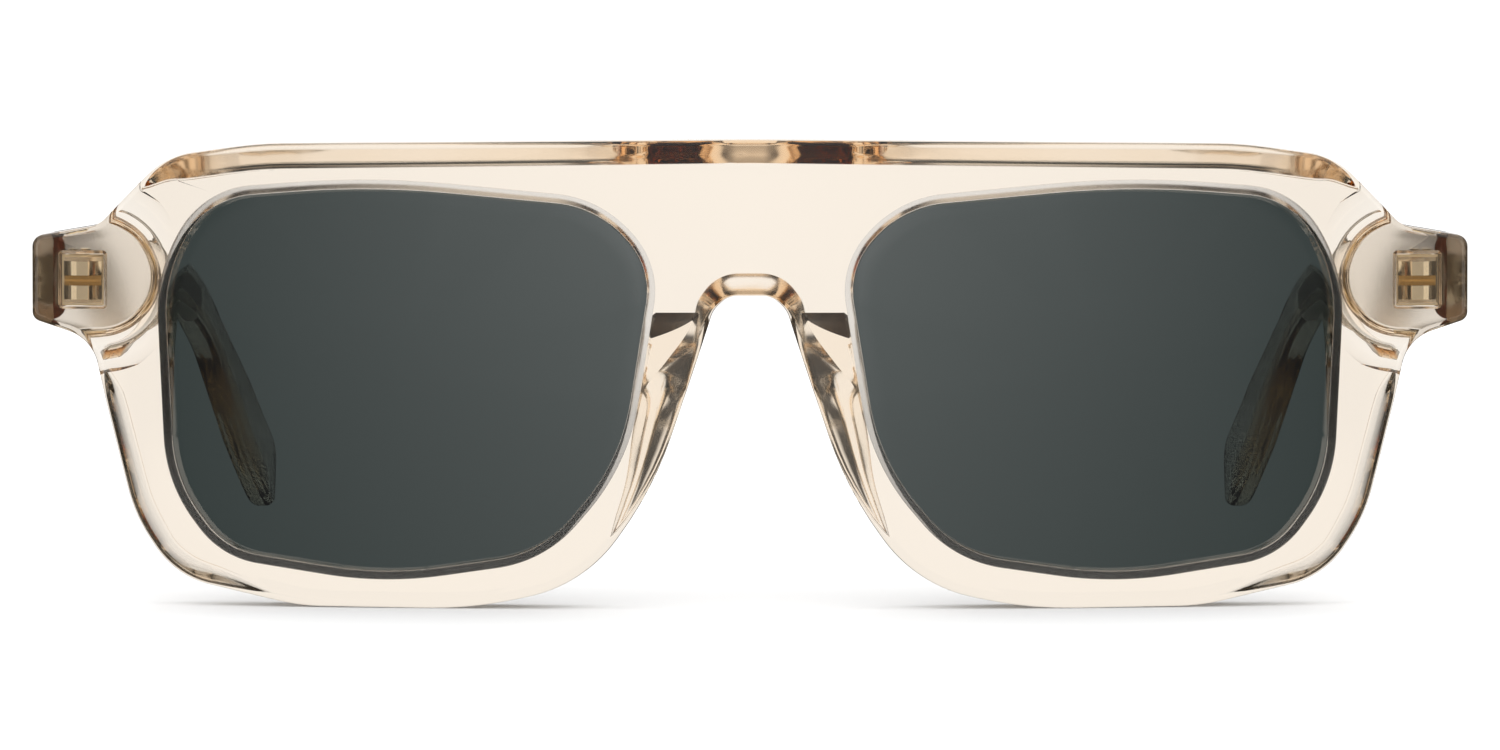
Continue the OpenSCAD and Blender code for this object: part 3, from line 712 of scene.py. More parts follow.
def pad_height(z, v):
    """How far the pad stands behind the sheet, v across from the nose edge to the inner line."""
    end = SHOULDER * PAD_H * min(1.0, max(0.0, (PAD_TOP - z) / pad_end(v)))
    shoulder = end * min(1.0, v / pad_crest(z)) * ease((1 - v) / SIDE_FALL_OFF)
    below = min(1.0, max(0.0, (z - PAD_LOW) / (PAD_RIDGE - PAD_LOW)))
    rise = math.sin(math.pi / 2 * below) ** RIDGE_BLUNT
    ridge = PAD_H * rise * max(0, math.sin(math.pi * v ** RIDGE_SKEW)) ** RIDGE_BLUNT
    blend = ease((z - PAD_RIDGE + BLEND_BELOW) / BLEND_RUN)
    return shoulder * blend + ridge * (1 - blend)


print("pads", round(PAD_TOP - PAD_LOW, 1), "mm long and", PAD_H, "mm high")

# %% [markdown]
# A plain grid would cross the sharp foot of the steep end and the crest of the
# shoulder, and show them as stairs. So one row of the grid follows that foot
# and one column follows the crest.

# %% Pads joined to the front
rows_n, cols_n = ((90, 40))
END_ROWS = rows_n // 9
CREST_SHARE = 0.6


def pad_place(i, j):
    """Height and share across at row i and column j of the grid."""
    s, z = j / cols_n, PAD_TOP
    # Each depends on the other, and a few rounds settle both
    for _ in range(5):
        crest = min(0.9, pad_crest(z))
        if s < CREST_SHARE:
            v = crest * (s / CREST_SHARE) ** 1.5
        else:
            v = crest + (1 - crest) * (s - CREST_SHARE) / (1 - CREST_SHARE)
        low = PAD_TOP - pad_end(v)
        if i <= END_ROWS:
            z = PAD_TOP - pad_end(v) * i / END_ROWS
        else:
            z = low + (PAD_LOW - low) * (i - END_ROWS) / (rows_n - END_ROWS)
    return z, v


pad_rows, verts = [], []
for i in range(rows_n + 1):
    row = []
    for j in range(cols_n + 1):
        z, v = pad_place(i, j)
        x0, x1 = pad_edges(z)
        x, y, zz = on_face((x0 + (x1 - x0) * v, z), SHEET)
        row.append(len(verts))
        verts.append((x, y + pad_height(z, v), zz))
    pad_rows.append(row)
base = [(x, on_face((x, z), SHEET)[1] - PAD_SUNK, z) for x, y, z in verts]
n = len(verts)
verts = verts + base
base_rows = [[n + k for k in row] for row in pad_rows]
faces = strips(pad_rows) + [f[::-1] for f in strips(base_rows)]
faces += strips([pad_rows[0], base_rows[0]]) + strips([base_rows[-1], pad_rows[-1]])
faces += strips([[r[0] for r in base_rows], [r[0] for r in pad_rows]])
faces += strips([[r[-1] for r in pad_rows], [r[-1] for r in base_rows]])
pad = new_object("pad", verts, faces)
both_sides(front, pad, "UNION")
for v in front.data.vertices:
    # The rim stands on the same table as the solid, and its face is as far forward
    v.co.y, v.co.z = max(v.co.y, cad_low[1]), max(v.co.z, cad_low[2])
tidy(front, 35)
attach(front, "front")
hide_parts("front", "nose_pad_left", "nose_pad_right")
print("front with pads", len(front.data.polygons), "faces")

# %% [markdown]
# Each lens is a slice of a ball shell, with the same curve as its frame. It
# could be cut out of such a shell, but as rings from the middle outward it has
# no slivers at its edge. It sits low and outward in its groove, so the groove
# stays empty along the top and the nose side, where it sparkles.

# %% Lenses
LENS_IN_LIP = 0.06
LENS_FREE = 0.03
LENS_BREAK = 0.06
BREAK_FROM, BREAK_TO = 0.04, 0.18
LENS_SHARES = [0.0001, 0.12, 0.25, 0.4, 0.55, 0.7, 0.82, 0.92, 0.985]
LOW_AND_OUT = unit(np.array([0.5, -1]))


def low_and_out(direction):
    """From -1 to 1: how much a direction from the middle of the lens points down and outward."""
    return np.clip(direction @ LOW_AND_OUT / 0.45, -1, 1)


def lens_piece(name):
    """Rings from the middle out over the front, round the broken edge and back to the middle."""
    outside = 0.5 + 0.5 * low_and_out(eye_n)
    reach = LENS_IN_LIP + (GROOVE_DEEP - LENS_FREE - LENS_IN_LIP) * outside
    edge = eye[:, :2] + (reach - LIP_HALF)[:, None] * eye_n
    broken = edge - LENS_BREAK * eye_n
    centre = edge.mean(0)
    face = [centre + (edge - centre) * share for share in LENS_SHARES]
    d_front, d_back = groove_front + GROOVE_CLEAR, groove_front + GROOVE_CLEAR + LENS_T
    rings = [(ring, d_front) for ring in face]
    rings += [(broken, d_front + BREAK_FROM), (edge, d_front + BREAK_TO)]
    rings += [(edge, d_back - BREAK_TO), (broken, d_back - BREAK_FROM)]
    rings += [(ring, d_back) for ring in face[::-1]]
    return solid(name, [[on_face(p, depth) for p in ring] for ring, depth in rings], 50)


lens_left = lens_piece("lens_left_tinted")
lens_right = mirrored(lens_left, "lens_right_tinted")
for lens, side in ((lens_left, "left"), (lens_right, "right")):
    tidy(lens, 50)
    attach(lens, "front")
    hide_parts("lens_" + side)
print("lenses", [round(v * 1000, 1) for v in lens_left.dimensions])

# %% [markdown]
# A temple is a long flat bar of acetate with rounded edges, bent down behind
# the ear and a little inward. It is a loft of rounded sections along its bent
# middle line, which a curve with a bevel could give as well, but not with the
# changing height.

# %% Middle line of the temples
TEMPLE_H, TEMPLE_T = 8.4, 3.5
BEND = 103.0
TEMPLE_IN = OUTER_X - 0.1 - TEMPLE_T
# Where the temple starts to lean inward, and how much; each lean comes in over a run.
LEANS = [(SEAT_DEPTH + 1.6, 0.07), (BEND - 27, 0.08)]
LEAN_RUN = 20.0
# Middle line in side view: depth, height, bend radius, height of the bar there.
TEMPLE = [
    (SEAT_DEPTH - MITRE - 2, 33.4, 0, TEMPLE_H), (55, 32, 200, 6.8), (BEND, 30.1, 60, 6.0),
    (BEND + 34.5, 8.6, 300, 9.6), (BEND + 46, 2.27, 0, 9.4),
]
spine = spaced(rounded(TEMPLE, 2, False), 3.0)


def spine_x(depth):
    """How far out the middle line lies at a depth."""
    x = TEMPLE_IN + TEMPLE_T / 2
    for start, lean in LEANS:
        t = max(0.0, depth - start)
        x -= lean * (t * t / (2 * LEAN_RUN) if t < LEAN_RUN else t - LEAN_RUN / 2)
    return x


def spine_turn(depth):
    """The angle by which a section is turned inward there."""
    return math.atan(sum(lean * min(1.0, max(0.0, (depth - start) / LEAN_RUN)) for start, lean in LEANS))


def along(i):
    """The direction of the middle line at its point i, as depth and height."""
    return unit(spine[min(len(spine) - 1, i + 1), :2] - spine[max(0, i - 1), :2])


def ring_at(p, direction, section):
    """Points of a section set across the middle line at p = (depth, height)."""
    a = spine_turn(p[0])
    return [(spine_x(p[0]) + q[0] * math.cos(a), FACE_Y + p[0] + q[0] * math.sin(a) - q[1] * direction[1],
             p[1] + q[1] * direction[0]) for q in section]


print("temples lean in by", round(spine_x(0) - spine_x(spine[-1, 0]), 1), "mm")

# %% [markdown]
# The bar gets a little thinner on its way back and ends in a round tip, whose
# sections follow a quarter circle. Its front end is sawn to the mitre of the
# front with a hair of air between, and milled for the leaf of its hinge.

# %% Temples
TAPER, TAPER_FROM = 0.004, 20
TEMPLE_ROUND = 1.1
TIP_RUN = 5.2
TIP_RINGS = 13
TIP_T, THINNEST, LOWEST = 3, 0.9, 1.2
BUTT_GAP = 0.08
LEAF_L, LEAF_THICK = 8.0, 0.9
LEAF_BEHIND = 1.2
rings = []
before_tip = [i for i, q in enumerate(spine) if np.linalg.norm(q[:2] - spine[-1, :2]) > TIP_RUN + 1]
for i in before_tip:
    direction = unit(np.array([1, -0.03])) if i == 0 else along(i)
    width = TEMPLE_T - TAPER * max(0, spine[i, 0] - TAPER_FROM)
    rings.append(ring_at(spine[i], direction, bar_section(width, spine[i, 2], TEMPLE_ROUND)))
end_dir = along(len(spine) - 1)
for k in range(TIP_RINGS):
    u = math.sin(math.pi / 2 * k / (TIP_RINGS - 0.7))
    f = math.sqrt(1 - u * u)
    width = max(THINNEST, TIP_T * math.sqrt(f))
    p = spine[-1, :2] - end_dir * TIP_RUN * (1 - u)
    section = bar_section(width, max(LOWEST, spine[-1, 2] * f), min(TEMPLE_ROUND, 0.4 * width))
    rings.append(ring_at(p, end_dir, section))
temple_left = solid("temple_left_acetate", rings, 50)
# The block in front of the mitre is what the saw takes off the temple
keep_front = box_shape((OUTER_X - CUT_IN, OUTER_X + 8), (-2, SEAT_DEPTH + 8),
                       (hinge_z - CUT_UP - 1, hinge_z + CUT_UP + 1))
combine(keep_front, mitre_solid(BUTT_GAP), "DIFFERENCE")
combine(temple_left, keep_front, "DIFFERENCE")
leaf_y = SEAT_DEPTH + LEAF_BEHIND
leaf_pocket = box_shape((TEMPLE_IN - 2, TEMPLE_IN + LEAF_THICK + FIT), (leaf_y - FIT, leaf_y + LEAF_L + FIT),
                        (hinge_z - LEAF_H / 2 - FIT, hinge_z + LEAF_H / 2 + FIT))
combine(temple_left, leaf_pocket, "DIFFERENCE")
tidy(temple_left, 35)
for v in temple_left.data.vertices:
    # The round tip ends exactly where the solid ends
    v.co.y, v.co.z = min(v.co.y, cad_high[1]), max(v.co.z, cad_low[2])
temple_right = mirrored(temple_left, "temple_right_acetate")
tidy(temple_right, 35)
print("temple", [round(v * 1000, 1) for v in temple_left.dimensions])

# %% [markdown]
# A flat metal wire is shot into the hot acetate and stiffens the temple. It is
# a second loft along the same middle line and gets wider toward the bend.

# %% Core wires
CORE_FROM, CORE_TO = SEAT_DEPTH + 9, BEND + 6
CORE_W, CORE_T = 2.4, 1.1
CORE_ROUND = 0.45
# Its width at the hinge end, as a share of the full width.
CORE_START = 0.55
core_rings = []
for i in before_tip:
    if CORE_FROM < spine[i, 0] < CORE_TO:
        share = (spine[i, 0] - CORE_FROM) / (CORE_TO - CORE_FROM)
        h = CORE_W * (CORE_START + (1 - CORE_START) * ease(share))
        core_rings.append(ring_at(spine[i], along(i), bar_section(CORE_T, h, CORE_ROUND, 4)))
core_left = solid("core_wire_left_metal", core_rings, 50)
core_right = mirrored(core_left, "core_wire_right_metal")
for side, temple, core in (("left", temple_left, core_left), ("right", temple_right, core_right)):
    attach(temple, "temple_" + side)
    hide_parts("temple_" + side)
    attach(core, "temple_" + side)
    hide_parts("core_wire_" + side)
print("core wire", [round(v * 1000, 1) for v in core_left.dimensions])

# %% [markdown]
# Every finish here is either clear or metal, and all of them were polished on
# a wheel. A wheel leaves a slightly uneven gloss and a soft waviness that only
# shows in reflections, so one noise drives the roughness and a very low bump.
# Sawn faces are duller, by a mark on each face that is set further down.

# %% Polish
WAVE_MM = 0.002
SAWN_DULLER = 0.25


def shader(name):
    """A new material, its node tree and its surface node."""
    mat = bpy.data.materials.new(name)
    mat.use_nodes = True
    return mat, mat.node_tree, mat.node_tree.nodes["Principled BSDF"]


def unpolished_and_shade_mark(tree):
    """The mark of a face: 0 where a wheel has polished it, more where not; high marks also get painted
    shade.
    """
    mark = tree.nodes.new("ShaderNodeAttribute")
    mark.attribute_name = "unpolished_and_shade"
    return mark.outputs["Fac"]


def polish(tree, bsdf, scale, low, high, duller=0.0):
    """Uneven gloss between two roughnesses, the soft waviness, and duller sawn faces."""
    coord = tree.nodes.new("ShaderNodeTexCoord")
    noise = tree.nodes.new("ShaderNodeTexNoise")
    noise.inputs["Scale"].default_value = scale
    noise.inputs["Detail"].default_value = 3
    spread = tree.nodes.new("ShaderNodeMapRange")
    spread.inputs["To Min"].default_value = low
    spread.inputs["To Max"].default_value = high
    bump = tree.nodes.new("ShaderNodeBump")
    bump.inputs["Distance"].default_value = WAVE_MM * MM
    bump.inputs["Strength"].default_value = 1.0
    tree.links.new(coord.outputs["Object"], noise.inputs["Vector"])
    tree.links.new(noise.outputs["Fac"], spread.inputs["Value"])
    rough = spread.outputs["Result"]
    if duller:
        total = tree.nodes.new("ShaderNodeMath")
        total.operation = "MULTIPLY_ADD"
        total.inputs[1].default_value = duller
        tree.links.new(unpolished_and_shade_mark(tree), total.inputs[0])
        tree.links.new(rough, total.inputs[2])
        rough = total.outputs[0]
    tree.links.new(rough, bsdf.inputs["Roughness"])
    tree.links.new(noise.outputs["Fac"], bump.inputs["Height"])
    tree.links.new(bump.outputs["Normal"], bsdf.inputs["Normal"])


# %% [markdown]
# Clear acetate bends light like a real block of it, and the tint comes from
# how far light travels inside: pale through the thin sheet, amber where it
# runs along the front. So the colour is an absorption in the volume and not a
# paint on the surface. A dark film is painted on the faces with a high mark. In
# the joints that nobody can buff it is partly polishing paste that stays behind
# and partly painted shade. On the pads' steep ends, the platforms and the lens
# groove it is painted shade that stands in for dark inner reflections. The lens
# has a thin reflecting coat.

# %% Acetate and lens
WAVE_SCALE = 90
# Dark brown film: partly paste in the mitre joints, mostly painted shade on pad ends, platforms and lens
# groove
PASTE_AND_SHADE = (0.035, 0.025, 0.02, 1)
# Faces with a mark above this get the dark film: paste in the joints, painted shade elsewhere
PASTE_AND_SHADE_FROM = 0.5


def mixed(tree, share, first, second):
    """The surface becomes a mix of two finishes; the share is a number or a node's result."""
    mix = tree.nodes.new("ShaderNodeMixShader")
    if isinstance(share, float):
        mix.inputs[0].default_value = share
    else:
        tree.links.new(share, mix.inputs[0])
    tree.links.new(first, mix.inputs[1])
    tree.links.new(second, mix.inputs[2])
    tree.links.new(mix.outputs[0], tree.nodes["Material Output"].inputs["Surface"])


def clear_material(name, ior, tint, density, rough, coat=0.0, paste_and_shade=0.0):
    """A clear solid with a tint in its volume, and a reflecting coat, or a dark film of paste and painted
    shade on marked faces.
    """
    mat, tree, bsdf = shader(name)
    bsdf.inputs["Base Color"].default_value = (1, 1, 1, 1)
    bsdf.inputs["Transmission Weight"].default_value = 1.0
    bsdf.inputs["IOR"].default_value = ior
    polish(tree, bsdf, WAVE_SCALE, rough * 0.5, rough * 1.5, SAWN_DULLER)
    volume = tree.nodes.new("ShaderNodeVolumeAbsorption")
    volume.inputs["Color"].default_value = (*tint, 1)
    volume.inputs["Density"].default_value = density
    tree.links.new(volume.outputs["Volume"], tree.nodes["Material Output"].inputs["Volume"])
    if paste_and_shade:
        # Painted shade: a dark diffuse film mixed in where the mark is high
        paste_shade_film = tree.nodes.new("ShaderNodeBsdfDiffuse")
        paste_shade_film.inputs["Color"].default_value = PASTE_AND_SHADE
        amount = tree.nodes.new("ShaderNodeMapRange")
        amount.clamp = False
        amount.inputs["From Min"].default_value = PASTE_AND_SHADE_FROM
        amount.inputs["To Max"].default_value = paste_and_shade
        tree.links.new(unpolished_and_shade_mark(tree), amount.inputs["Value"])
        mixed(tree, amount.outputs["Result"], bsdf.outputs[0], paste_shade_film.outputs[0])
    if coat:
        film = tree.nodes.new("ShaderNodeBsdfGlossy")
        film.inputs["Color"].default_value = (1, 1, 1, 1)
        film.inputs["Roughness"].default_value = rough
        mixed(tree, coat, bsdf.outputs[0], film.outputs[0])
    return mat


# The last number is how strongly the dark film of paste and painted shade shows
acetate = clear_material("champagne_acetate", 1.49, (0.91, 0.60, 0.17), 50, 0.01, paste_and_shade=0.52)
tinted = clear_material("grey_green_lens", 1.5, (0.26, 0.32, 0.31), 2050, 0.005, coat=0.07)
print("clear finishes", acetate.name, tinted.name)

# %% [markdown]
# The hinges are plated in a pale gold, the screws are a little darker and
# duller, and the core wires are bare metal. A metal is all reflection, so its
# colour and its gloss make it, and one short function serves all three.

# %% Metals


def metal_material(name, colour, rough, scale):
    """A polished metal with finer waves than the acetate."""
    mat, tree, bsdf = shader(name)
    bsdf.inputs["Base Color"].default_value = (*colour, 1)
    bsdf.inputs["Metallic"].default_value = 1.0
    polish(tree, bsdf, scale, rough * 0.7, rough * 1.4)
    return mat


gold = metal_material("pale_gold", (0.83, 0.72, 0.53), 0.12, 900)
screw_metal = metal_material("screw_gold", (0.80, 0.66, 0.42), 0.2, 900)
steel = metal_material("core_wire_metal", (0.70, 0.69, 0.66), 0.3, 600)
print("metals", gold.name, screw_metal.name, steel.name)

# %% [markdown]
# Now each face of the acetate gets its mark. A wheel reaches the outside of
# the glasses, but not the lens groove, the hinge pockets and the sawn mitres,
# and hardly the pads and the platforms. The highest marks, on the pads' steep
# ends, the lens groove, the platforms and the mitres, also get the dark film:
# painted shade, and in the mitres partly paste as well. Faces are told apart
# by their place and by the way they look, which is simpler than a second
# material.

# %% Unpolished faces
# PAD_END_MARK, GROOVE_MARK, PLATFORM_MARK and JOINT_MARK lie above the dark film's threshold, so these faces
# get painted shade
PAD_MARK, PAD_END_MARK = 0.5, 1.35
NOSE_EDGE_MARK = 0.4
BROW_MARK, BROW_CORNER_MARK = 0.1, 0.4
GROOVE_MARK, GROOVE_CHANGE = 0.73, 0.15
POCKET_MARK = 0.3
PLATFORM_MARK = 0.66
JOINT_MARK = 1.0
# Pads and nose edge lie nearer to the middle than this, the brow's corner further out.
PAD_WITHIN, NOSE_WITHIN, CORNER_BEYOND = 15.5, 7.5, 52
NOSE_Z = (22, 34)
BROW_ABOVE, CORNER_ABOVE = 40, 43
# The joint's region: in from the end, up and down, and in front of and behind the seat.
JOINT_IN, JOINT_UP, JOINT_BEFORE, JOINT_BEHIND = 8.5, 5.6, 3.2, 10
BUTT_IN = 3.8
# A face looks straight along an axis when that part of its normal is more than this.
STRAIGHT_ON = 0.999


def mark_front(value, x, z, behind, depth, up, back):
    """Marks on the front: pads, nose edge, brow and lens groove."""
    pads = (x < PAD_WITHIN) & (z < PAD_TOP + 0.1) & (behind > SHEET + 0.04)
    value[pads] = PAD_MARK
    # The pads' steep top ends get painted shade: a dark film in place of their dark inner reflection
    value[pads & (up > 0.35) & (z > PAD_TOP - 3)] = PAD_END_MARK
    nose_edge = (x < NOSE_WITHIN) & (z > NOSE_Z[0]) & (z < NOSE_Z[1]) & (back > 0.3) & (behind > SHEET - 2.4)
    value[nose_edge & ~pads] = NOSE_EDGE_MARK
    value[(up > 0.4) & (back > 0.4) & (z > BROW_ABOVE) & (depth < SHEET + 7)] = BROW_MARK
    value[(up > 0.3) & (back > 0.4) & (z > CORNER_ABOVE) & (x > CORNER_BEYOND)] = BROW_CORNER_MARK
    lip_line = spaced(np.vstack([eye, eye[:1]]), 0.5)
    in_groove = np.where((behind > groove_front - 0.02) & (behind < groove_back + 0.02))[0]
    for i in in_groove:
        if np.hypot(lip_line[:, 0] - x[i], lip_line[:, 1] - z[i]).min() < 1:
            way_out = unit(np.array([x[i], z[i]]) - RAY_CENTRE)
            # The lens groove gets painted shade, darker low and outward where the lens sits
            value[i] = GROOVE_MARK + GROOVE_CHANGE * low_and_out(way_out)


def mark_unpolished_and_shade(obj):
    """Marks the faces of obj that a wheel doesn't reach, and those that get painted shade."""
    n = len(obj.data.polygons)
    normal, centre, value = np.empty(3 * n), np.empty(3 * n), np.zeros(n)
    obj.data.polygons.foreach_get("normal", normal)
    obj.data.polygons.foreach_get("center", centre)
    nx, ny, nz = np.abs(normal.reshape(-1, 3).T)
    up, back = normal.reshape(-1, 3).T[2], normal.reshape(-1, 3).T[1]
    x, y, z = centre.reshape(-1, 3).T / MM
    x, depth = np.abs(x), y - FACE_Y
    if obj == front:
        behind = FACE_R - np.sqrt(x ** 2 + (y - FACE_Y - FACE_R) ** 2 + (z - FACE_Z) ** 2)
        mark_front(value, x, z, behind, depth, up, back)
    at_joint = (x > OUTER_X - JOINT_IN) & (np.abs(z - hinge_z) < JOINT_UP)
    at_joint &= (depth > SEAT_DEPTH - JOINT_BEFORE) & (depth < SEAT_DEPTH + JOINT_BEHIND)
    mitre = (np.abs(nx - ny) < 0.03) & (nz < 0.03) & (nx > 0.6)
    butt = (ny > STRAIGHT_ON) & (x > OUTER_X - BUTT_IN) & (np.abs(depth - SEAT_DEPTH) < 0.3)
    in_pocket = (np.abs(z - hinge_z) < LEAF_H / 2 + 0.2) & (np.maximum(np.maximum(nx, ny), nz) > STRAIGHT_ON)
    value[at_joint & in_pocket] = POCKET_MARK
    if obj == front:
        # The platforms' backs get a light painted shade
        value[(back > STRAIGHT_ON) & (np.abs(depth - SEAT_DEPTH) < 0.02)] = PLATFORM_MARK
    # Mitre and butt faces get the dark film: paste in the joint and painted shade
    value[at_joint & (mitre | butt)] = JOINT_MARK
    obj.data.attributes.new("unpolished_and_shade", "FLOAT", "FACE").data.foreach_set("value", value)
    print(obj.name, "unpolished faces", int((value > 0).sum()), "of", n)


for obj in (front, temple_left, temple_right):
    mark_unpolished_and_shade(obj)

# %% [markdown]
# Each piece is now dressed in its finish. The temple halves of the hinges and
# the screws are the solids themselves and only get their metal.

# %% Dress the pieces


def dress(obj, mat):
    """Gives a piece its one material."""
    obj.data.materials.clear()
    obj.data.materials.append(mat)


for obj in (front, temple_left, temple_right):
    dress(obj, acetate)
for obj in (lens_left, lens_right):
    dress(obj, tinted)
for obj in (core_left, core_right):
    dress(obj, steel)
for side in ("left", "right"):
    dress(hinge_front[side], gold)
    dress(frame["nodes"]["temple_hinge_" + side], gold)
    dress(frame["nodes"]["hinge_screw_" + side], screw_metal)
print("materials", [m.name for m in bpy.data.materials])

# %% [markdown]
# Floor and room are worked out with small sums of nodes. Two helpers keep
# those sums readable, where a long list of nodes and links would hide them.

# %% Sums of nodes


def sums(tree):
    """A function that adds a Math node to a tree; its values are numbers or results of nodes."""
    def calc(operation, *values):
        node = tree.nodes.new("ShaderNodeMath")
        node.operation = operation
        for i, value in enumerate(values):
            if isinstance(value, (int, float)):
                node.inputs[i].default_value = value
            else:
                tree.links.new(value, node.inputs[i])
        return node.outputs[0]
    return calc


def soft_step(tree, value, low, high, curve="SMOOTHSTEP", ends=(0, 1)):
    """A soft change from one end to the other while the value goes from low to high."""
    node = tree.nodes.new("ShaderNodeMapRange")
    node.interpolation_type = curve
    node.inputs["From Min"].default_value = low
    node.inputs["From Max"].default_value = high
    node.inputs["To Min"].default_value, node.inputs["To Max"].default_value = ends
    tree.links.new(value, node.inputs["Value"])
    return node.outputs["Result"]


# %% [markdown]
# The stage is a white table that runs on without an edge. Light falls on it as
# on paper, which shows the soft shadow under the rims. Rays from the glasses
# see painted light instead, a glow of its own, because a table lit evenly would
# wash out every reflection: painted shade near by and to the sides, and
# painted light behind.

# %% Floor
FLOOR = 12.0
CAMERA_SIDE = 0.72
DARKEST_SIDE = 0.05
# In metres before the glasses: half way to full reach, and the width of the bright lane.
GLANCE_REACH = 0.22
LANE_GROWS, LANE_START, LANE_FALL = 0.0185, 0.0024, 0.026


def painted_table_light(tree, path):
    """The painted light and shade that the table glows with for a ray that was reflected or bent by the
    glasses.
    """
    calc = sums(tree)

    def fade(value, low, high):
        return soft_step(tree, value, low, high, "SMOOTHERSTEP", (1, 0))

    coord = tree.nodes.new("ShaderNodeTexCoord")
    axes = tree.nodes.new("ShaderNodeSeparateXYZ")
    tree.links.new(coord.outputs["Object"], axes.inputs[0])
    x_side = calc("ABSOLUTE", axes.outputs["X"])
    y_place = calc("ADD", axes.outputs["Y"], -FACE_Y * MM)
    behind = calc("MAXIMUM", y_place, 0.0)
    before = calc("MAXIMUM", calc("MULTIPLY", y_place, -1.0), 0.0)
    # Painted shade for a glance off the front: dimmer near by and to the sides
    reach = calc("DIVIDE", before, calc("ADD", before, GLANCE_REACH))
    spread = calc("DIVIDE", x_side, calc("ADD", calc("MULTIPLY", before, LANE_GROWS), LANE_START))
    glance = calc("SUBTRACT", CAMERA_SIDE, calc("MULTIPLY", spread, LANE_FALL))
    glance = calc("MAXIMUM", glance, DARKEST_SIDE)
    in_gloss = calc("MULTIPLY", glance, calc("ADD", calc("MULTIPLY", reach, 0.45), 0.45))
    # A painted pool of light below the two soft boxes beside the camera
    beside = calc("DIVIDE", calc("SUBTRACT", x_side, 0.05), calc("MAXIMUM", before, 0.005))
    below_box = calc("MULTIPLY", fade(beside, 1.2, 0.85), fade(before, 0.07, 0.02))
    in_gloss = calc("MAXIMUM", in_gloss, below_box)
    # Through the acetate: a painted bright lane under and behind the glasses
    lane = fade(calc("SUBTRACT", x_side, calc("MULTIPLY", behind, 0.6)), 0.1, 0.3)
    near = fade(before, 0.03, 0.2)
    in_glass = calc("MAXIMUM", calc("MULTIPLY", lane, near), in_gloss)
    # Looked straight through from the side, the table is as white as beside the glasses
    straight = calc("LESS_THAN", path.outputs["Glossy Depth"], 0.5)
    sideways = calc("SUBTRACT", calc("MULTIPLY", calc("ABSOLUTE", y_place), 1.5), x_side)
    in_glass = calc("MAXIMUM", in_glass, calc("MULTIPLY", straight, fade(sideways, -0.15, 0.0)))
    through = path.outputs["Is Transmission Ray"]
    in_gloss = calc("MULTIPLY", calc("SUBTRACT", 1.0, through), in_gloss)
    return calc("ADD", in_gloss, calc("MULTIPLY", through, in_glass))


def table_material():
    """White paper for light, and a glow of painted light and shade for rays from the glasses."""
    mat = bpy.data.materials.new("white_table")
    mat.use_nodes = True
    tree = mat.node_tree
    tree.nodes.remove(tree.nodes["Principled BSDF"])
    paper = tree.nodes.new("ShaderNodeBsdfDiffuse")
    paper.inputs["Color"].default_value = (0.8, 0.8, 0.8, 1)
    path = tree.nodes.new("ShaderNodeLightPath")
    # Painted light: the table glows for rays that come from the glasses
    glow = tree.nodes.new("ShaderNodeEmission")
    glow.inputs["Color"].default_value = (1, 1, 1, 1)
    tree.links.new(painted_table_light(tree, path), glow.inputs["Strength"])
    from_glasses = sums(tree)("MAXIMUM", path.outputs["Is Glossy Ray"], path.outputs["Is Transmission Ray"])
    mixed(tree, from_glasses, paper.outputs[0], glow.outputs[0])
    return mat


mesh = bpy.data.meshes.new("table")
corners = [(-FLOOR, -FLOOR, 0), (FLOOR, -FLOOR, 0), (FLOOR, FLOOR, 0), (-FLOOR, FLOOR, 0)]
mesh.from_pydata(corners, [], [(0, 1, 2, 3)])
table = bpy.data.objects.new("table", mesh)
bpy.context.scene.collection.objects.link(table)
table.data.materials.append(table_material())
print("table", 2 * FLOOR, "m wide")

# %% [markdown]
# The room round the table is what the polished edges show. Straight on it is
# white. In reflections and through the acetate it is a dim studio with a white
# wall behind the object, a wide soft box overhead and two upright ones beside
# the camera. Real lamps could stand there too, but a room made of directions
# costs no render time and has no noise.

# %% World
# Each bright area fades in between two values of a direction's part: sideways, away or up.
WALL_AWAY, WALL_UP = (0.62, 0.82), (0.7, 0.55)
SOFT_BOX_UP = (0.5, 0.62)
SIDE_BOX_IN, SIDE_BOX_OUT = (0.62, 0.7), (0.97, 0.93)
SIDE_BOX_TOWARD, SIDE_BOX_UP = (-0.05, -0.15), (0.65, 0.55)
CAMERA_HALF = (0.1, -0.1)
STRAIGHT_SIDE = (0.8, 0.92)
# The camera's side gets dimmer sideways and downward
SIDE_FALL, UP_RISE, UP_LEVEL = 1.52, 2.3, 0.92
DARKEST_ROOM = 0.06
LIGHT_LEVEL = 1.65
world = bpy.data.worlds.new("studio")
bpy.context.scene.world = world
world.use_nodes = True
wt = world.node_tree
wt.nodes.clear()
calc = sums(wt)
w_path = wt.nodes.new("ShaderNodeLightPath")
w_coord = wt.nodes.new("ShaderNodeTexCoord")
w_axes = wt.nodes.new("ShaderNodeSeparateXYZ")
wt.links.new(w_coord.outputs["Generated"], w_axes.inputs[0])
across, away, up = w_axes.outputs["X"], w_axes.outputs["Y"], w_axes.outputs["Z"]
side = calc("ABSOLUTE", across)
wall = calc("MULTIPLY", soft_step(wt, away, *WALL_AWAY), soft_step(wt, up, *WALL_UP))
soft_box = soft_step(wt, up, *SOFT_BOX_UP)
dim = calc("MAXIMUM", calc("SUBTRACT", CAMERA_SIDE, calc("MULTIPLY", side, SIDE_FALL)), DARKEST_SIDE)
height = calc("ADD", calc("MULTIPLY", up, UP_RISE), UP_LEVEL)
height = calc("MINIMUM", calc("MAXIMUM", height, 0.1), 1.1)
toward = calc("MULTIPLY", calc("MULTIPLY", dim, height), soft_step(wt, away, *CAMERA_HALF))
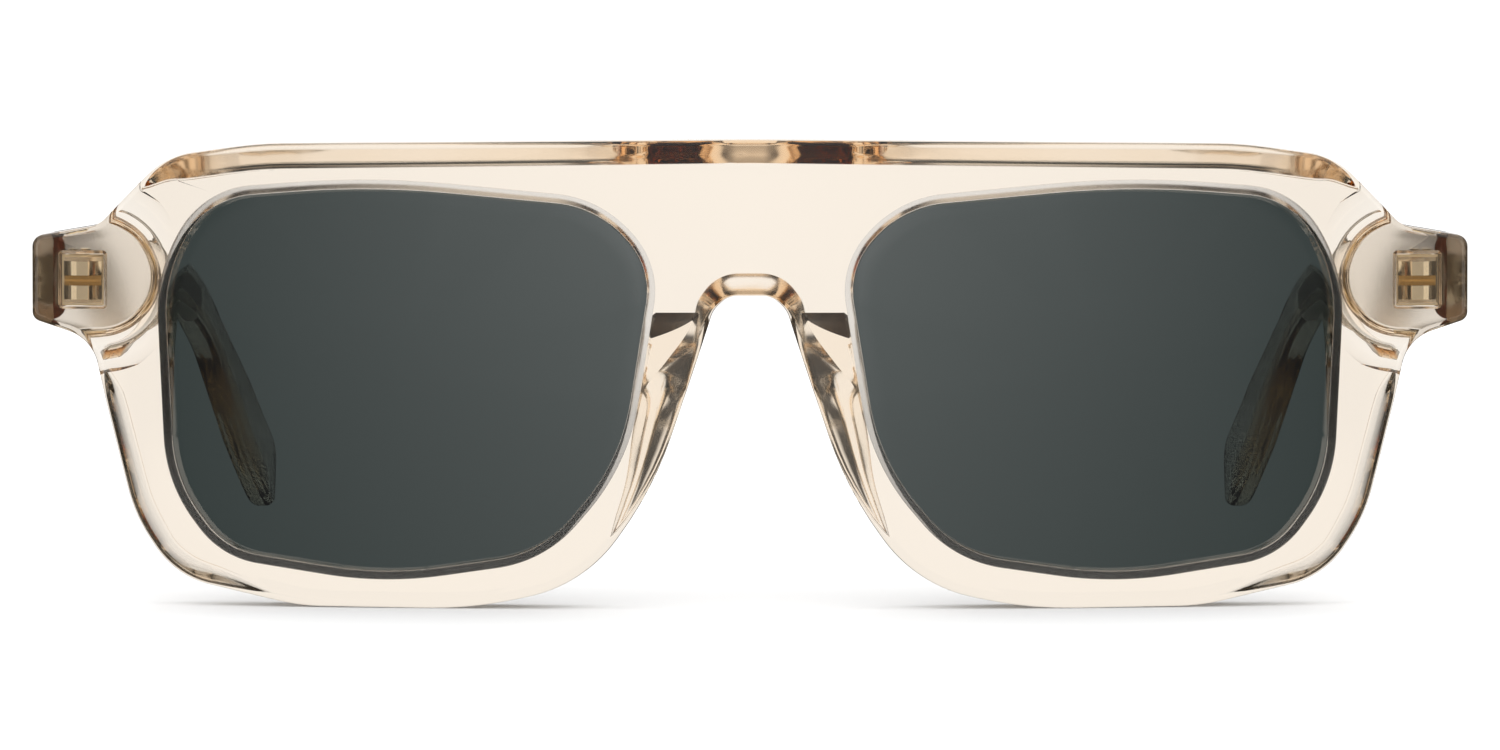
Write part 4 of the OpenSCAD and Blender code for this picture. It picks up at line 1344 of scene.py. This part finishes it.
box_side = calc("MULTIPLY", soft_step(wt, side, *SIDE_BOX_IN), soft_step(wt, side, *SIDE_BOX_OUT))
box_place = calc("MULTIPLY", soft_step(wt, away, *SIDE_BOX_TOWARD), soft_step(wt, up, *SIDE_BOX_UP))
room = calc("MAXIMUM", calc("MAXIMUM", wall, soft_box), toward)
room = calc("MAXIMUM", calc("MAXIMUM", room, calc("MULTIPLY", box_side, box_place)), DARKEST_ROOM)
# Looked straight through from the side, the room is white as well
through = w_path.outputs["Is Transmission Ray"]
straight = calc("MULTIPLY", through, calc("LESS_THAN", w_path.outputs["Glossy Depth"], 0.5))
room = calc("MAXIMUM", room, calc("MULTIPLY", straight, soft_step(wt, side, *STRAIGHT_SIDE)))
sees_room = calc("MAXIMUM", w_path.outputs["Is Glossy Ray"], through)
as_light = calc("MULTIPLY", calc("SUBTRACT", 1.0, sees_room), LIGHT_LEVEL)
lit = calc("ADD", calc("MULTIPLY", sees_room, room), as_light)
w_back = wt.nodes.new("ShaderNodeBackground")
w_back.inputs["Color"].default_value = (1, 1, 1, 1)
w_out = wt.nodes.new("ShaderNodeOutputWorld")
wt.links.new(calc("MAXIMUM", w_path.outputs["Is Camera Ray"], lit), w_back.inputs["Strength"])
wt.links.new(w_back.outputs[0], w_out.inputs["Surface"])
print("room made of", len(wt.nodes), "nodes")

# %% [markdown]
# One broad lamp hangs over the table, as a product photographer hangs it, and
# lays the faint shadow under the rims. The room gives the rest of the light.

# %% Lamp


def lamp(name, place, aim, size, power):
    """A rectangular area lamp at a place, aimed at a point."""
    light = bpy.data.lights.new(name, "AREA")
    light.shape = "RECTANGLE"
    light.size, light.size_y = size
    light.energy = power
    obj = bpy.data.objects.new(name, light)
    bpy.context.scene.collection.objects.link(obj)
    obj.location = place
    obj.rotation_euler = (Vector(aim) - Vector(place)).to_track_quat("-Z", "Y").to_euler()
    obj.visible_camera = False
    return obj


overhead = lamp("overhead", (0, 0.1, 1.3), (0, 0, 0), (1.2, 0.9), 0.2)
print("lamp", overhead.name, overhead.data.energy, "W")

# %% [markdown]
# The photograph was taken from a little above, from about 80 cm, with a long
# lens. The field of view follows from the width of the front in the picture,
# and the downward look from the horizon, which lies above the picture's top.

# %% Camera
CAMERA_BACK = 800.0
CAMERA_UP = 70.0
FOCAL_PX = 7917.6
IMAGE_W, IMAGE_H = 1500, 750
HORIZON_ABOVE = 81
SENSOR = 36.0
cam = bpy.data.cameras.new("camera")
cam.sensor_width = SENSOR
cam.lens = FOCAL_PX * SENSOR / IMAGE_W
cam.clip_start = 0.01
cam.clip_end = 100
cam_obj = bpy.data.objects.new("camera", cam)
bpy.context.scene.collection.objects.link(cam_obj)
pitch = math.atan((IMAGE_H / 2 + HORIZON_ABOVE) / FOCAL_PX)
cam_obj.location = (0, (FACE_Y - CAMERA_BACK) * MM, CAMERA_UP * MM)
cam_obj.rotation_euler = (math.pi / 2 - pitch, 0, 0)
bpy.context.scene.camera = cam_obj
print("camera", round(cam.lens), "mm lens, looking", round(math.degrees(pitch), 1), "degrees down")

# %% [markdown]
# Light passes many faces of the acetate before it comes out, so it gets many
# bounces. The colours are shown plainly, without a film look.

# %% Bounces and colours
cycles = bpy.context.scene.cycles
cycles.max_bounces = 32
cycles.transmission_bounces = 32
cycles.glossy_bounces = 8
bpy.context.scene.view_settings.view_transform = "Standard"
print("bounces", cycles.max_bounces, "view", bpy.context.scene.view_settings.view_transform)
